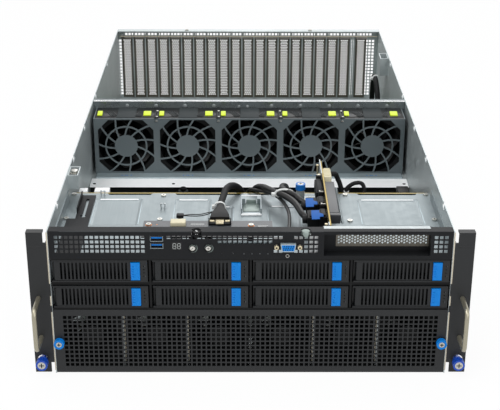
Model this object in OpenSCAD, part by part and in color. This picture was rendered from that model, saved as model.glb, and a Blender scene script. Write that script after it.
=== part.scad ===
// 4U GPU server with its top cover off: a steel chassis that carries eight hot-swap drive trays,
// two banks of fans, a front port panel and a rear bay of twenty expansion slots.
// Axes: X to the right, the front looks towards -Y, Z up. Origin: centre of the base pan's underside.
// Every module is drawn with the front face at Y = 0 and moved back by from_front().

/* [Chassis] */
// Width over the side walls
chassis_w = 438; // [437:0.5:440]
// Height of the side walls
chassis_h = 176; // [175:0.5:178]
// Depth from the front face to the rear panel
chassis_d = 800; // [790:5:840]
// Thickness of the steel sheet
sheet_t = 1.2; // [1:0.1:1.3]
// Width of a cover hook's notch in the top edge of a side wall
notch_w = 9; // [6:0.5:12]
// Depth of a cover hook's notch
notch_depth = 7; // [5:0.5:9]
// Radius of a rail mounting hole
rail_hole_r = 2.1; // [1.6:0.1:2.6]
// Height of the rail mounting holes
rail_hole_z = 60; // [50:1:70]
// Distance of the first rail hole from the front
rail_hole_front = 240; // [225:5:260]
// Distance between the two rail holes of a side
rail_hole_gap = 300; // [260:5:320]

/* [Rack ears] */
// Width over both rack ears
rack_w = 482.6; // [480:0.1:484]
// Thickness of an ear
ear_t = 2; // [1.6:0.1:2.4]
// Depth of the ear's plate along the side wall
ear_side_d = 62; // [40:1:80]
// Width of the ear's front flange past its web
ear_flange_w = 17.8; // [16:0.1:18]
// Height of an ear
ear_h = 173; // [168:0.5:174]
// Height of the ear's web
ear_web_h = 148; // [130:1:160]
// Radius of the ear's fixing hole
ear_hole_r = 5.2; // [4.6:0.1:5.6]
// Height of the ear's fixing hole
ear_hole_z = 16.5; // [14:0.5:19]
// Radius of a handle's bar
handle_r = 2.6; // [2:0.1:3]
// Height between the two ends of a handle
handle_span = 49; // [40:1:60]
// Height of the handle's lower end
handle_z = 46.3; // [42:0.1:52]
// Reach of a handle ahead of the ear
handle_reach = 35; // [28:1:42]
// Radius of the handle's bends
handle_bend_r = 7; // [5:0.5:9]

/* [Captive thumbscrews] */
// Radius of a thumbscrew's knob
knob_r = 6.6; // [5.8:0.1:7]
// Length of a thumbscrew's knob
knob_len = 8; // [6:0.5:12]
// Radius of the screw's shank
shank_r = 2.5; // [2:0.1:3]
// Length of the shank behind the ear
shank_len = 10; // [6:0.5:14]
// Length of the collar between the knob and the ear
collar_len = 4; // [3:0.5:7]

/* [Drive bays] */
// Distance between two drive columns
bay_pitch_x = 109.3; // [108.8:0.1:109.5]
// Distance between the two drive rows
bay_pitch_z = 31.5; // [31.4:0.1:32]
// Underside of the drive cage's floor
cage_floor_z = 82; // [81.5:0.1:82.3]
// Top face of the drive cage's deck
deck_z = 143; // [142.8:0.1:144]
// Depth of the drive cage's deck
cage_d = 180; // [178:1:186]
// Thickness of a divider between two columns
divider_t = 2.4; // [1.6:0.1:3]
// Depth of the panels pressed into the deck
emboss_h = 0.8; // [0.4:0.1:0.8]
// Height of the deck's turned-up edge
deck_lip_h = 14; // [8:1:18]

/* [Drive trays] */
// Width of a drive tray
tray_w = 104; // [103.4:0.1:104.6]
// Height of a drive tray
tray_h = 26.4; // [26.2:0.1:26.6]
// Depth of a drive tray
tray_d = 160; // [156:1:162]
// Depth of a drive tray's front frame
bezel_d = 13; // [11:0.5:16]
// Thickness of the tray's walls
tray_wall = 1; // [0.8:0.1:1.1]
// Width of a 3.5-inch drive
drive_w = 101.6; // [101.2:0.1:101.8]
// Height of a 3.5-inch drive
drive_h = 24.6; // [20:0.1:24.8]
// Length of a 3.5-inch drive
drive_len = 146; // [140:1:147]
// Width of the release tab
tab_w = 10; // [9:0.5:12]
// Height of the release tab
tab_h = 21; // [18:0.5:22]
// Travel of the release tab
tab_travel = 2; // [1:0.1:2.2]
// Width of the tray's end cap beside the release tab
end_cap_w = 7.8; // [4:0.1:8.5]
// Thickness of the lever
lever_t = 5; // [4:0.1:6]
// Width of the plain end of a lever
lever_plain_w = 5.3; // [4:0.1:10]
// Distance between two louvre slots
louvre_pitch = 4.15; // [4:0.05:4.5]
// Width of a louvre slot
louvre_slot_w = 2.2; // [1.8:0.1:2.8]
// Radius of the lever's hinge pin
hinge_pin_r = 1; // [0.8:0.05:1.2]

/* [Perforations] */
// Side of a square vent hole
vent_hole = 3.9; // [3:0.1:4.2]
// Distance between two vent holes
vent_pitch = 5.47; // [5.4:0.01:5.55]

/* [Front grille] */
// Width of the grille panel
grille_w = 435; // [430:0.5:437]
// Height of the grille panel
grille_h = 80; // [76:0.5:80.5]
// Gap under the grille panel
grille_gap = 1; // [0.6:0.1:1.2]
// Rows of vent holes in the grille
grille_rows = 12; // [6:1:13]
// Columns of vent holes in the grille
grille_cols = 76; // [40:1:77]
// Depth of the grille's folded edge
grille_lip = 6; // [3:0.5:7]
// Height of the grille's thumbscrews
grille_knob_z = 40; // [36:1:44]

/* [Front fans] */
// Number of front fans
front_fan_count = 6; // [4:1:6]
// Distance between two front fans
front_fan_pitch = 71; // [69:0.5:71.5]
// Width of a front fan's housing
front_fan_w = 67; // [65:0.5:67.5]
// Height of a front fan's housing
front_fan_h = 74; // [70:0.5:76]
// Depth of a front fan's housing
front_fan_d = 50; // [38:1:56]
// Distance of the front fans from the front face
front_fan_y = 14; // [12:0.5:20]
// Radius of a front fan's bore
front_fan_r = 31; // [29:0.1:31.5]

/* [Fan wall] */
// Number of large fans
fan_count = 5; // [3:1:5]
// Distance between two large fans
fan_pitch = 84.7; // [84:0.1:85.5]
// Distance of the fan wall from the front face
fan_wall_y = 383; // [378:1:392]
// Side of an octagonal fan opening
fan_opening = 76; // [72:0.5:78]
// Width of a cut corner of a fan opening
fan_corner = 14.5; // [11:0.5:17]
// Height of the fan axis
fan_axis_z = 126.4; // [126:0.1:127]
// Height of a fan housing
fan_h = 80; // [79:0.5:80.5]
// Depth of a fan housing
fan_d = 44; // [36:1:46]
// Radius of a large fan's bore
fan_bore_r = 38; // [36:0.1:38.5]
// Radius of the guard's hub disc
guard_hub_r = 15.8; // [13:0.1:18]
// Radius of the guard's ring
guard_ring_r = 28; // [24:0.5:31]
// Width of the guard's bars
guard_bar = 2.2; // [1.6:0.1:3]
// Number of the guard's curved spokes
guard_spokes = 11; // [7:1:13]
// Width of the rail over the fan wall
top_rail_w = 10.5; // [8:0.5:14]

/* [Rear bay] */
// Number of expansion slots
slot_count = 20; // [8:1:20]
// Distance between two expansion slots
slot_pitch = 20.32; // [20.3:0.01:20.34]
// Width of a slot window in the rear panel
slot_window_w = 13; // [10:0.5:14]
// Lower end of a slot window
slot_z = 60; // [56:0.5:64]
// Height of a slot window
slot_window_h = 100; // [90:1:101]
// Width of a slot cover
cover_w = 18.4; // [16:0.1:19]
// Thickness of a slot cover
cover_t = 0.8; // [0.6:0.1:1]
// Radius of a slot cover's holes
cover_hole_r = 1.15; // [1:0.05:1.3]
// Height of the shelf under the expansion slots
gpu_shelf_z = 48; // [47:0.5:50]
// Number of power supplies
psu_count = 4; // [2:2:4]
// Width of a power supply
psu_w = 73.5; // [70:0.5:74]
// Height of a power supply
psu_h = 40; // [36:0.5:41]
// Length of a power supply
psu_len = 265; // [185:5:280]

/* [Front panel] */
// Depth of the port panel's top flange
panel_flange = 12; // [8:0.5:16]
// Width of the front slot opening
recess_w = 115; // [100:1:116]
// Depth of the front slot recess
recess_d = 13; // [11:0.5:16]
// Radius of a push button
button_r = 3.2; // [2.6:0.1:3.6]
// Travel of a push button
button_travel = 0.8; // [0.4:0.1:1]
// Height of the push buttons and the display
button_z = 156.5; // [155:0.5:158]

/* [Riser] */
// Distance of the riser board from the middle
riser_x = 86.4; // [85:0.2:88]
// Thickness of a circuit board
pcb_t = 1.6; // [1.2:0.1:2]
// Length of the riser board
riser_len = 188; // [180:1:192]
// Height of the riser board's top edge
riser_top_z = 172; // [171:0.5:174]

/* [Hidden] */

round_fn = 48;         // facets asked of a round face; the real surface is a true cylinder
slide_gap = 0.4;       // clearance of a sliding piece
pin_gap = 0.08;        // radial clearance of a hinge pin in its bore
reach = 400;           // longer than any cut needs
inner_w = chassis_w - 2 * sheet_t;
body_d = chassis_d - sheet_t;
deck_under = deck_z - sheet_t;
drive_rows = 2;
drive_cols = 4;
wall_side = [-1, 1];

// ---------------------------------------------------------------- helpers

module from_front() {
    translate([0, -chassis_d / 2, 0])
        children();
}

// A flat outline in X and Z, given thickness t from y towards the rear.
module wall_xz(y, t) {
    translate([0, y + t, 0])
        rotate([90, 0, 0])
            linear_extrude(t)
                children();
}

// A flat outline in Y and Z, given thickness t from x to the right.
module wall_yz(x, t) {
    translate([x, 0, 0])
        rotate([90, 0, 90])
            linear_extrude(t)
                children();
}

// A cylinder along +Y from its front face.
module rod_y(r, len) {
    rotate([-90, 0, 0])
        cylinder(r = r, h = len, $fn = round_fn);
}

module box(low, high) {
    translate(low)
        cube(high - low);
}

module at_xz(x, z) {
    translate([x, z])
        children();
}

// A grid of square vent holes about its own centre.
module vents(cols, rows) {
    for (i = [0 : cols - 1], j = [0 : rows - 1])
        translate([(i - (cols - 1) / 2) * vent_pitch, (j - (rows - 1) / 2) * vent_pitch])
            square(vent_hole, center = true);
}

module rounded_rect(w, h, r) {
    square([w - 2 * r, h], center = true);
    square([w, h - 2 * r], center = true);
    for (sx = wall_side, sy = wall_side)
        translate([sx * (w / 2 - r), sy * (h / 2 - r)])
            circle(r = r, $fn = round_fn);
}

module octagon(side, corner) {
    h = side / 2;
    c = h - corner;
    polygon([[-h, -c], [-c, -h], [c, -h], [h, -c], [h, c], [c, h], [-c, h], [-h, c]]);
}

// ---------------------------------------------------------------- chassis

base_front = sheet_t + 0.8;     // the base pan starts behind the grille panel
notch_ys = [76, 219, 330, 461, 614];
shelf_y = 346;                 // front edge of the shelf that carries the fan wall
shelf_z = 84;                  // top face of that shelf
shelf_lip = 10;                // its folded front edge
step_y = fan_wall_y + sheet_t + fan_d + top_rail_w + 2;
post_w = 12.5;
post_len = 28;
post_ys = [162, 640];          // left front post and right rear post

module cover_notch() {
    translate([-notch_w / 2, -notch_depth])
        square([notch_w, notch_depth + sheet_t]);
    translate([-notch_w / 2, -notch_depth])
        square([notch_w * 1.6, notch_depth / 2]);
}

module side_wall_outline() {
    difference() {
        square([body_d, chassis_h]);
        for (y = notch_ys)
            translate([y, chassis_h])
                cover_notch();
        for (k = [0, 1])
            translate([rail_hole_front + k * rail_hole_gap, rail_hole_z])
                circle(r = rail_hole_r, $fn = round_fn);
        translate([body_d - 24, vent_mid_z])
            vents(1, vent_rows);
    }
}

module cover_post(side, y, low) {
    x = side * (inner_w / 2 - post_w);
    difference() {
        box([min(x, side * inner_w / 2), y, low], [max(x, side * inner_w / 2), y + post_len, chassis_h - 2]);
        box([min(x, side * inner_w / 2) + sheet_t, y + sheet_t, low + sheet_t],
            [max(x, side * inner_w / 2) - sheet_t, y + post_len - sheet_t, chassis_h]);
    }
}

module chassis_shell() {
    color("lightsteelblue") from_front() {
        box([-chassis_w / 2, base_front, 0], [chassis_w / 2, body_d, sheet_t]);
        for (side = wall_side)
            wall_yz(side > 0 ? inner_w / 2 : -chassis_w / 2, sheet_t)
                side_wall_outline();
        fan_bay_dividers();
        box([-inner_w / 2, shelf_y, shelf_z - sheet_t], [inner_w / 2, step_y, shelf_z]);
        box([-inner_w / 2, shelf_y, shelf_z - shelf_lip], [inner_w / 2, shelf_y + sheet_t, shelf_z]);
        box([-inner_w / 2, step_y - sheet_t, gpu_shelf_z - sheet_t], [inner_w / 2, step_y, shelf_z]);
        box([-inner_w / 2, step_y - sheet_t, gpu_shelf_z - sheet_t], [inner_w / 2, body_d, gpu_shelf_z]);
        cover_post(-1, post_ys[0], deck_z + deck_lip_h - sheet_t);
        cover_post(1, post_ys[1], chassis_h - 30);
    }
}

// Sheet dividers between the front fans, standing on the base pan.
module fan_bay_dividers() {
    for (i = [0 : front_fan_count])
        translate([(i - front_fan_count / 2) * front_fan_pitch, 0, 0])
            box([-sheet_t / 2, grille_lip + 4, sheet_t / 2],
                [sheet_t / 2, front_fan_y + front_fan_d, front_fan_h + 2]);
}

// ---------------------------------------------------------------- rear bay

slot_left = inner_w / 2 - 13.74; // distance of the first slot from the middle
last_slot_gap = 7.5;           // the last slot stands further off, past a column of vents
function slot_x(i) = -slot_left + i * slot_pitch + (i == slot_count - 1 ? last_slot_gap : 0);
function psu_x(i) = (i - (psu_count - 1) / 2) * (psu_w + 4) + (i < psu_count / 2 ? -1 : 1) * psu_split;
psu_split = inner_w / 2 - 9.8 - psu_w / 2 - (psu_count - 1) * (psu_w + 4) / 2;
psu_front = body_d - psu_len;
vent_rows = 18;
vent_mid_z = slot_z + slot_window_h / 2;
flange_d = 12;

module rear_panel() {
    color("silver") from_front() {
        wall_xz(body_d, sheet_t)
            difference() {
                translate([-chassis_w / 2, 0])
                    square([chassis_w, chassis_h]);
                for (i = [0 : slot_count - 1])
                    translate([slot_x(i) - slot_window_w / 2, slot_z])
                        square([slot_window_w, slot_window_h]);
                for (i = [0 : psu_count - 1])
                    translate([psu_x(i) - psu_w / 2 - slide_gap, sheet_t])
                        square([psu_w + 2 * slide_gap, psu_h + slide_gap]);
                translate([0, chassis_h - 8])
                    vents(76, 1);
                translate([slot_x(slot_count - 1) + slot_window_w / 2 + 3.2 + vent_pitch, vent_mid_z])
                    vents(3, vent_rows);
                translate([slot_x(slot_count - 1) - (slot_pitch + last_slot_gap) / 2, vent_mid_z])
                    vents(1, vent_rows);
                translate([0, (sheet_t + psu_h) / 2])
                    vents(18, 5);
                translate([-inner_w / 2 + 2.2, vent_mid_z])
                    vents(1, vent_rows);
            }
        box([-inner_w / 2, body_d - flange_d, chassis_h - sheet_t], [inner_w / 2, body_d, chassis_h]);
    }
}

cover_rows = 33;
cover_step = [3.32, 2.97];     // distance between two holes of a row, and between two rows

module slot_cover_plate(len) {
    difference() {
        translate([-cover_w / 2, 0])
            square([cover_w, len]);
        for (r = [0 : cover_rows - 1], k = [0 : 3 - r % 2])
            translate([(k - (3 - r % 2) / 2) * cover_step[0],
                       len / 2 + (r - (cover_rows - 1) / 2) * cover_step[1]])
                circle(r = cover_hole_r, $fn = 16);
    }
}

module slot_covers() {
    len = slot_window_h + 6;
    color("darkkhaki") from_front() {
        for (i = [0 : slot_count - 1])
            translate([slot_x(i), 0, slot_z - 3]) {
                wall_xz(body_d - cover_t, cover_t)
                    slot_cover_plate(len);
                box([-cover_w / 2, body_d - flange_d + 1, len], [cover_w / 2, body_d, len + cover_t]);
            }
        front_blank_plate();
    }
}

// The perforated blank lies on its side at the back of the front slot recess.

module front_blank_plate() {
    translate([blank_x, 0, blank_z])
        wall_xz(recess_d - cover_t, cover_t)
            rotate(90)
                translate([0, -blank_len / 2])
                    slot_cover_plate(blank_len);
}

gpu_board_z = gpu_shelf_z + 4;
board_half = inner_w / 2 - 12.8;  // half the width of both large boards
rear_lead_ys = [588, 688];        // the two ends of the rear bay's power lead
slot_socket = [7.6, 89, 11];

module gpu_board() {
    color("darkgreen") from_front() {
        box([-board_half, step_y + 12, gpu_board_z], [board_half, body_d - 14, gpu_board_z + pcb_t]);
        for (x = [-board_half + 15, 0, board_half - 15], y = [step_y + 30, body_d - 40])
            translate([x, y, gpu_shelf_z])
                cylinder(r = 3, h = gpu_board_z - gpu_shelf_z, $fn = round_fn);
        for (i = [0 : 2 : slot_count - 2])
            translate([slot_x(i), body_d - 57 - slot_socket[1], gpu_board_z + pcb_t])
                slot_socket_block();
        for (y = rear_lead_ys)
            box([board_half - 12, y - 7, gpu_board_z + pcb_t], [board_half, y + 7, gpu_board_z + 8]);
    }
}

module slot_socket_block() {
    difference() {
        translate([-slot_socket[0] / 2, 0, 0])
            cube(slot_socket);
        translate([-0.9, 2, 3])
            cube([1.8, slot_socket[1] - 4, slot_socket[2]]);
    }
}

module power_supply() {
    handle_x = 22;
    difference() {
        box([-psu_w / 2, psu_front, sheet_t], [psu_w / 2, chassis_d + 1, sheet_t + psu_h]);
        translate([-psu_w / 2 + 23, chassis_d - 6, sheet_t + psu_h / 2])
            rod_y(16, 10);
        box([8, chassis_d - 16, 6], [30, chassis_d + 2, 22]);
    }
    translate([-psu_w / 2 + 23, chassis_d - 6, sheet_t + psu_h / 2]) {
        rod_y(7, 6.6);
        for (a = [0 : 45 : 315])
            rotate([0, a, 0])
                box([-0.6, 4, 0], [0.6, 6, 18]);
    }
    translate([handle_x, chassis_d + 1, sheet_t + psu_h - 12]) {
        for (s = wall_side)
            translate([s * 12 - 2, 0, 0])
                cube([4, 19, 5]);
        translate([-14, 15, 0])
            cube([28, 4, 5]);
    }
}

module power_supplies() {
    color("slategray") from_front()
        for (i = [0 : psu_count - 1])
            translate([psu_x(i), 0, 0])
                power_supply();
}

// ---------------------------------------------------------------- fan wall

fan_wall_w = fan_count * fan_pitch;
fan_low = fan_axis_z - fan_h / 2;
rail_y = fan_wall_y + sheet_t + fan_d;

function fan_x(i) = (i - (fan_count - 1) / 2) * fan_pitch;

// A spoke is a bar bent along a circular arc, from the hub disc out past the opening's edge.
spoke_r = 62;
spoke_turn = 50;
spoke_steps = 6;
spoke_phase = 14.3;
function spoke_arc(r) = [for (k = [0 : spoke_steps]) let (a = spoke_turn * k / spoke_steps)
    [r * sin(a), r * cos(a) - spoke_r]];
function reversed(v) = [for (k = [len(v) - 1 : -1 : 0]) v[k]];

module guard_spoke() {
    translate([guard_hub_r - 2, 4])
        polygon(concat(spoke_arc(spoke_r + guard_bar / 2), reversed(spoke_arc(spoke_r - guard_bar / 2))));
}

module fan_guard() {
    circle(r = guard_hub_r, $fn = round_fn);
    difference() {
        circle(r = guard_ring_r + guard_bar / 2, $fn = round_fn);
        circle(r = guard_ring_r - guard_bar / 2, $fn = round_fn);
    }
    intersection() {
        octagon(fan_opening + 2, fan_corner);
        for (k = [0 : guard_spokes - 1])
            rotate(spoke_phase + k * 360 / guard_spokes)
                guard_spoke();
    }
}

module fan_wall() {
    color("slategray") from_front() {
        wall_xz(fan_wall_y, sheet_t) {
            difference() {
                translate([-fan_wall_w / 2 - sheet_t, shelf_z])
                    square([fan_wall_w + 2 * sheet_t, fan_axis_z + fan_h / 2 - shelf_z]);
                for (i = [0 : fan_count - 1])
                    at_xz(fan_x(i), fan_axis_z)
                        octagon(fan_opening, fan_corner);
            }
            for (i = [0 : fan_count - 1])
                at_xz(fan_x(i), fan_axis_z)
                    fan_guard();
        }
        box([-fan_wall_w / 2, fan_wall_y - 15, shelf_z], [fan_wall_w / 2, fan_wall_y + sheet_t, shelf_z + 2]);
        wall_xz(rail_y, sheet_t)
            difference() {
                translate([-inner_w / 2, shelf_z])
                    square([inner_w, chassis_h - shelf_z]);
                for (i = [0 : fan_count - 1])
                    at_xz(fan_x(i), fan_axis_z)
                        circle(r = fan_bore_r, $fn = round_fn);
            }
        for (s = wall_side)
            box([min(s * fan_wall_w / 2, s * (fan_wall_w / 2 + sheet_t)), fan_wall_y, shelf_z],
                [max(s * fan_wall_w / 2, s * (fan_wall_w / 2 + sheet_t)), rail_y + sheet_t / 2, fan_axis_z + fan_h / 2]);
        box([-inner_w / 2, rail_y, chassis_h - sheet_t], [inner_w / 2, rail_y + top_rail_w, chassis_h]);
        box([-inner_w / 2, rail_y + top_rail_w - sheet_t, chassis_h - 8],
            [inner_w / 2, rail_y + top_rail_w, chassis_h]);
    }
}

// A square housing with a through bore, a stator disc at its rear and four struts that carry it.
module fan_housing(w, h, d, bore_r, hub_r) {
    difference() {
        translate([-w / 2, 0, -h / 2])
            cube([w, d, h]);
        translate([0, -1, 0])
            rod_y(bore_r, d + 2);
    }
    translate([0, d - stator_d, 0])
        rod_y(hub_r, stator_d);
    translate([0, d - stator_d - axle_len, 0])
        rod_y(axle_r, axle_len + 1);
    for (a = [45 : 90 : 315])
        rotate([0, a, 0])
            box([-1.2, d - 4, hub_r - 1], [1.2, d, bore_r + 1]);
}

stator_d = 8;
axle_r = 2;
axle_len = 12;
rotor_gap = 1;
latch_recess = [26, 22, 6];

module fan_housings() {
    color("dimgray") from_front()
        for (i = [0 : fan_count - 1])
            translate([fan_x(i), fan_wall_y + sheet_t, fan_axis_z])
                difference() {
                    fan_housing(fan_pitch - 1.2, fan_h, fan_d - 1, fan_bore_r, guard_hub_r);
                    translate([-latch_recess[0] / 2, 8, fan_h / 2 - latch_recess[2] + 4])
                        cube(latch_recess);
                }
}

module front_fan_housings() {
    color("dimgray") from_front()
        for (i = [0 : front_fan_count - 1])
            translate([front_fan_x(i), front_fan_y, sheet_t + front_fan_h / 2])
                fan_housing(front_fan_w, front_fan_h, front_fan_d, front_fan_r, 13);
}

function front_fan_x(i) = (i - (front_fan_count - 1) / 2) * front_fan_pitch;

// One blade: a pitched plate cut to a sickle outline seen along the axle.
module blade(hub_r, tip_r, depth) {
    span = tip_r - hub_r;
    intersection() {
        translate([0, depth, 0])
            rotate([90, 0, 0])
                linear_extrude(depth)
                    blade_outline(hub_r, tip_r);
        translate([span * 0.35, depth / 2, 0])
            rotate([38, 0, 0])
                cube([tip_r * 3, 1.8, tip_r * 3], center = true);
    }
}

module blade_outline(hub_r, tip_r) {
    lead = [for (k = [0 : 4]) let (t = k / 4, r = hub_r - 1.5 + (tip_r - hub_r + 1.5) * t, a = 16 + 26 * t)
        [r * cos(a), r * sin(a)]];
    trail = [for (k = [0 : 4]) let (t = k / 4, r = hub_r - 1.5 + (tip_r - hub_r + 1.5) * t, a = -16 + 18 * t)
        [r * cos(a), r * sin(a)]];
    polygon(concat(lead, reversed(trail)));
}

module rotor(hub_r, tip_r, depth, blades) {
    difference() {
        rod_y(hub_r, depth);
        translate([0, depth - axle_len + 1, 0])
            rod_y(axle_r + pin_gap, axle_len);
    }
    for (k = [0 : blades - 1])
        rotate([0, k * 360 / blades, 0])
            blade(hub_r, tip_r, depth);
}

fan_rotor_d = fan_d - 1 - stator_d - rotor_gap - 3;

module fan_rotor(i) {
    color("#202224") from_front()
        translate([fan_x(i), fan_wall_y + sheet_t + 3, fan_axis_z])
            rotor(guard_hub_r - 0.3, fan_bore_r - 1, fan_rotor_d, 7);
}

front_rotor_d = front_fan_d - stator_d - rotor_gap - 3;

module front_fan_rotor(i) {
    color("#202224") from_front()
        translate([front_fan_x(i), front_fan_y + 3, sheet_t + front_fan_h / 2])
            rotor(12.7, front_fan_r - 1, front_rotor_d, 7);
}

// ---------------------------------------------------------------- main board

board_z = 8;
board_front = 90;
lead_socket = [[-20, 211], [20, 227], 20];   // low corner, high corner, top
cpu_x = 104;
cpu_y = 240;
cooler = [78, 108, 50];

module mainboard() {
    color("darkgreen") from_front() {
        box([-board_half, board_front, board_z], [board_half, step_y - 12, board_z + pcb_t]);
        for (x = [-board_half + 10, 0, board_half - 10],
             y = [board_front + 10, (board_front + step_y) / 2, step_y - 24])
            translate([x, y, sheet_t])
                cylinder(r = 3, h = board_z - sheet_t, $fn = round_fn);
        for (s = wall_side)
            translate([s * cpu_x, cpu_y, board_z + pcb_t]) {
                translate([-30, -38, 0])
                    cube([60, 76, 6]);
                for (m = wall_side, k = [0 : 3])
                    translate([m * (48 + 8 * k), 0, 0]) {
                        translate([-3.2, -70, 0])
                            cube([6.4, 140, 8]);
                        translate([-0.65, -66.7, 8])
                            cube([1.3, 133.4, 26]);
                    }
            }
        box([lead_socket[0][0], lead_socket[0][1], board_z + pcb_t],
            [lead_socket[1][0], lead_socket[1][1], lead_socket[2]]);
    }
}

module cpu_heatsinks() {
    fins = 19;
    color("silver") from_front()
        for (s = wall_side)
            translate([s * cpu_x, cpu_y, board_z + pcb_t + 6]) {
                translate([-cooler[0] / 2, -cooler[1] / 2, 0])
                    cube([cooler[0], cooler[1], 7]);
                for (k = [0 : fins - 1])
                    translate([-cooler[0] / 2 + k * (cooler[0] - 1) / (fins - 1), -cooler[1] / 2, 6])
                        cube([1, cooler[1], cooler[2] - 6]);
            }
}

// ---------------------------------------------------------------- drive cage

cage_floor_top = cage_floor_z + sheet_t;
row_low = cage_floor_top + slide_gap;
shelf_top = row_low + bay_pitch_z - slide_gap;
backplane_y = cage_d + 0.2;    // front face of the backplane, behind the deck's rear edge
backplane_t = 2.4;
divider_d = cage_d - 18;

function bay_x(c) = (c - (drive_cols - 1) / 2) * bay_pitch_x;
function row_z(r) = row_low + r * bay_pitch_z;

// Panels pressed into the deck: [x of the middle, y of the middle, width, depth].
deck_panels = [[-157, 125, 57, 77], [-68, 122, 45, 80], [-30, 104, 22, 76], [40, 105, 40, 76],
               [165, 124, 74, 76]];
pan_slope = 4;                 // width of a panel's sloped wall
// Shallow cuts in the deck's rear edge: [x of the middle, width].
deck_cuts = [[-145.5, 55], [-50.5, 81], [29.5, 41], [166.2, 73.5]];
deck_cut_d = 5;
deck_cut_chamfer = 2.5;

module deck_outline() {
    difference() {
        translate([-inner_w / 2, 0])
            square([inner_w, cage_d]);
        for (c = deck_cuts)
            translate([c[0], cage_d])
                polygon([[-c[1] / 2, 1], [-c[1] / 2, 0], [-c[1] / 2 + deck_cut_chamfer, -deck_cut_d],
                         [c[1] / 2 - deck_cut_chamfer, -deck_cut_d], [c[1] / 2, 0], [c[1] / 2, 1]]);
    }
}

// A shallow pan, size at its rim, whose four walls slope in as it goes down; the rim stands up straight.
module pan(size, rim) {
    intersection() {
        wall_xz(-size[1] / 2, size[1])
            pan_profile(size[0], rim);
        wall_yz(-size[0] / 2, size[0])
            pan_profile(size[1], rim);
        translate([0, 0, -emboss_h])
            linear_extrude(emboss_h + rim)
                rounded_rect(size[0], size[1], 5);
    }
}

module pan_profile(width, rim) {
    half = width / 2;
    polygon([[-half, rim], [-half, 0], [pan_slope - half, -emboss_h], [half - pan_slope, -emboss_h],
             [half, 0], [half, rim]]);
}

module drive_cage() {
    color("lightsteelblue") from_front() {
        difference() {
            union() {
                translate([0, 0, deck_under])
                    linear_extrude(sheet_t)
                        deck_outline();
                for (p = deck_panels)
                    translate([p[0], p[1], deck_under])
                        pan([p[2], p[3]], sheet_t / 2);
            }
            for (p = deck_panels)
                translate([p[0], p[1], deck_z])
                    pan([p[2], p[3]], 1);
        }
        for (s = wall_side)
            box([s > 0 ? inner_w / 2 - sheet_t : -inner_w / 2, 14, cage_floor_z],
                [s > 0 ? inner_w / 2 : -inner_w / 2 + sheet_t, cage_d - 4, deck_under]);
        for (s = wall_side)
            box([s > 0 ? inner_w / 2 - sheet_t : -inner_w / 2, 14, deck_under],
                [s > 0 ? inner_w / 2 : -inner_w / 2 + sheet_t, post_ys[0] - 2, deck_z + deck_lip_h - sheet_t]);
        box([-inner_w / 2, 0, cage_floor_z], [inner_w / 2, cage_d, cage_floor_top]);
        box([-inner_w / 2, 2, shelf_top - sheet_t], [inner_w / 2, divider_d, shelf_top]);
        box([-inner_w / 2, 2, row_low + tray_h + slide_gap], [inner_w / 2, 2 + sheet_t, shelf_top]);
        for (c = [1 : drive_cols - 1])
            box([bay_x(c) - bay_pitch_x / 2 - divider_t / 2, 1, cage_floor_z],
                [bay_x(c) - bay_pitch_x / 2 + divider_t / 2, divider_d, deck_under]);
        deck_clip();
    }
}

// The small spring clip that stands on the middle of the deck.
module deck_clip() {
    translate([1.2, 134.5, deck_z - 0.4]) {
        difference() {
            translate([-12, -20, 0])
                cube([24, 40, 9]);
            translate([-12 + sheet_t, -20 - 1, sheet_t])
                cube([24 - 2 * sheet_t, 30, 9]);
            translate([-7, -9, sheet_t])
                cube([14, 40, 9]);
        }
    }
}

module drive_backplane() {
    color("olivedrab") from_front() {
        box([-inner_w / 2 + sheet_t + 1, backplane_y, cage_floor_z],
            [inner_w / 2 - sheet_t - 1, backplane_y + backplane_t, deck_z - 0.3]);
        for (c = [0 : drive_cols - 1], r = [0 : drive_rows - 1])
            translate([bay_x(c), backplane_y, row_z(r) + 4])
                box([-22, -13.6, 0], [22, 0.2, 7]);
        translate([0, backplane_y + backplane_t - 0.2, 0])
            box([107, 0, 100], [145, 14, 112]);
    }
}

// ---------------------------------------------------------------- drive trays
// A tray is drawn about the middle of its bay: X = 0 is its centre, Z = 0 its underside.

bezel_wall = 1.6;
pocket_right = tray_w / 2 - end_cap_w;
tab_x = pocket_right - slide_gap - tab_w / 2;
lever_right = tab_x - tab_w / 2 - slide_gap;
lever_left = -tray_w / 2 + bezel_wall + slide_gap;
lever_low = bezel_wall + slide_gap;
lever_h = tray_h - 2 * lever_low;
hinge_x = lever_left + lever_t / 2;
hinge_y = lever_t / 2 + 0.4;
pocket_d = lever_t + tab_travel + 1.4;
tab_d = lever_t + 1;
louvres = floor((lever_right - lever_left - lever_plain_w - 2) / louvre_pitch);

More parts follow.
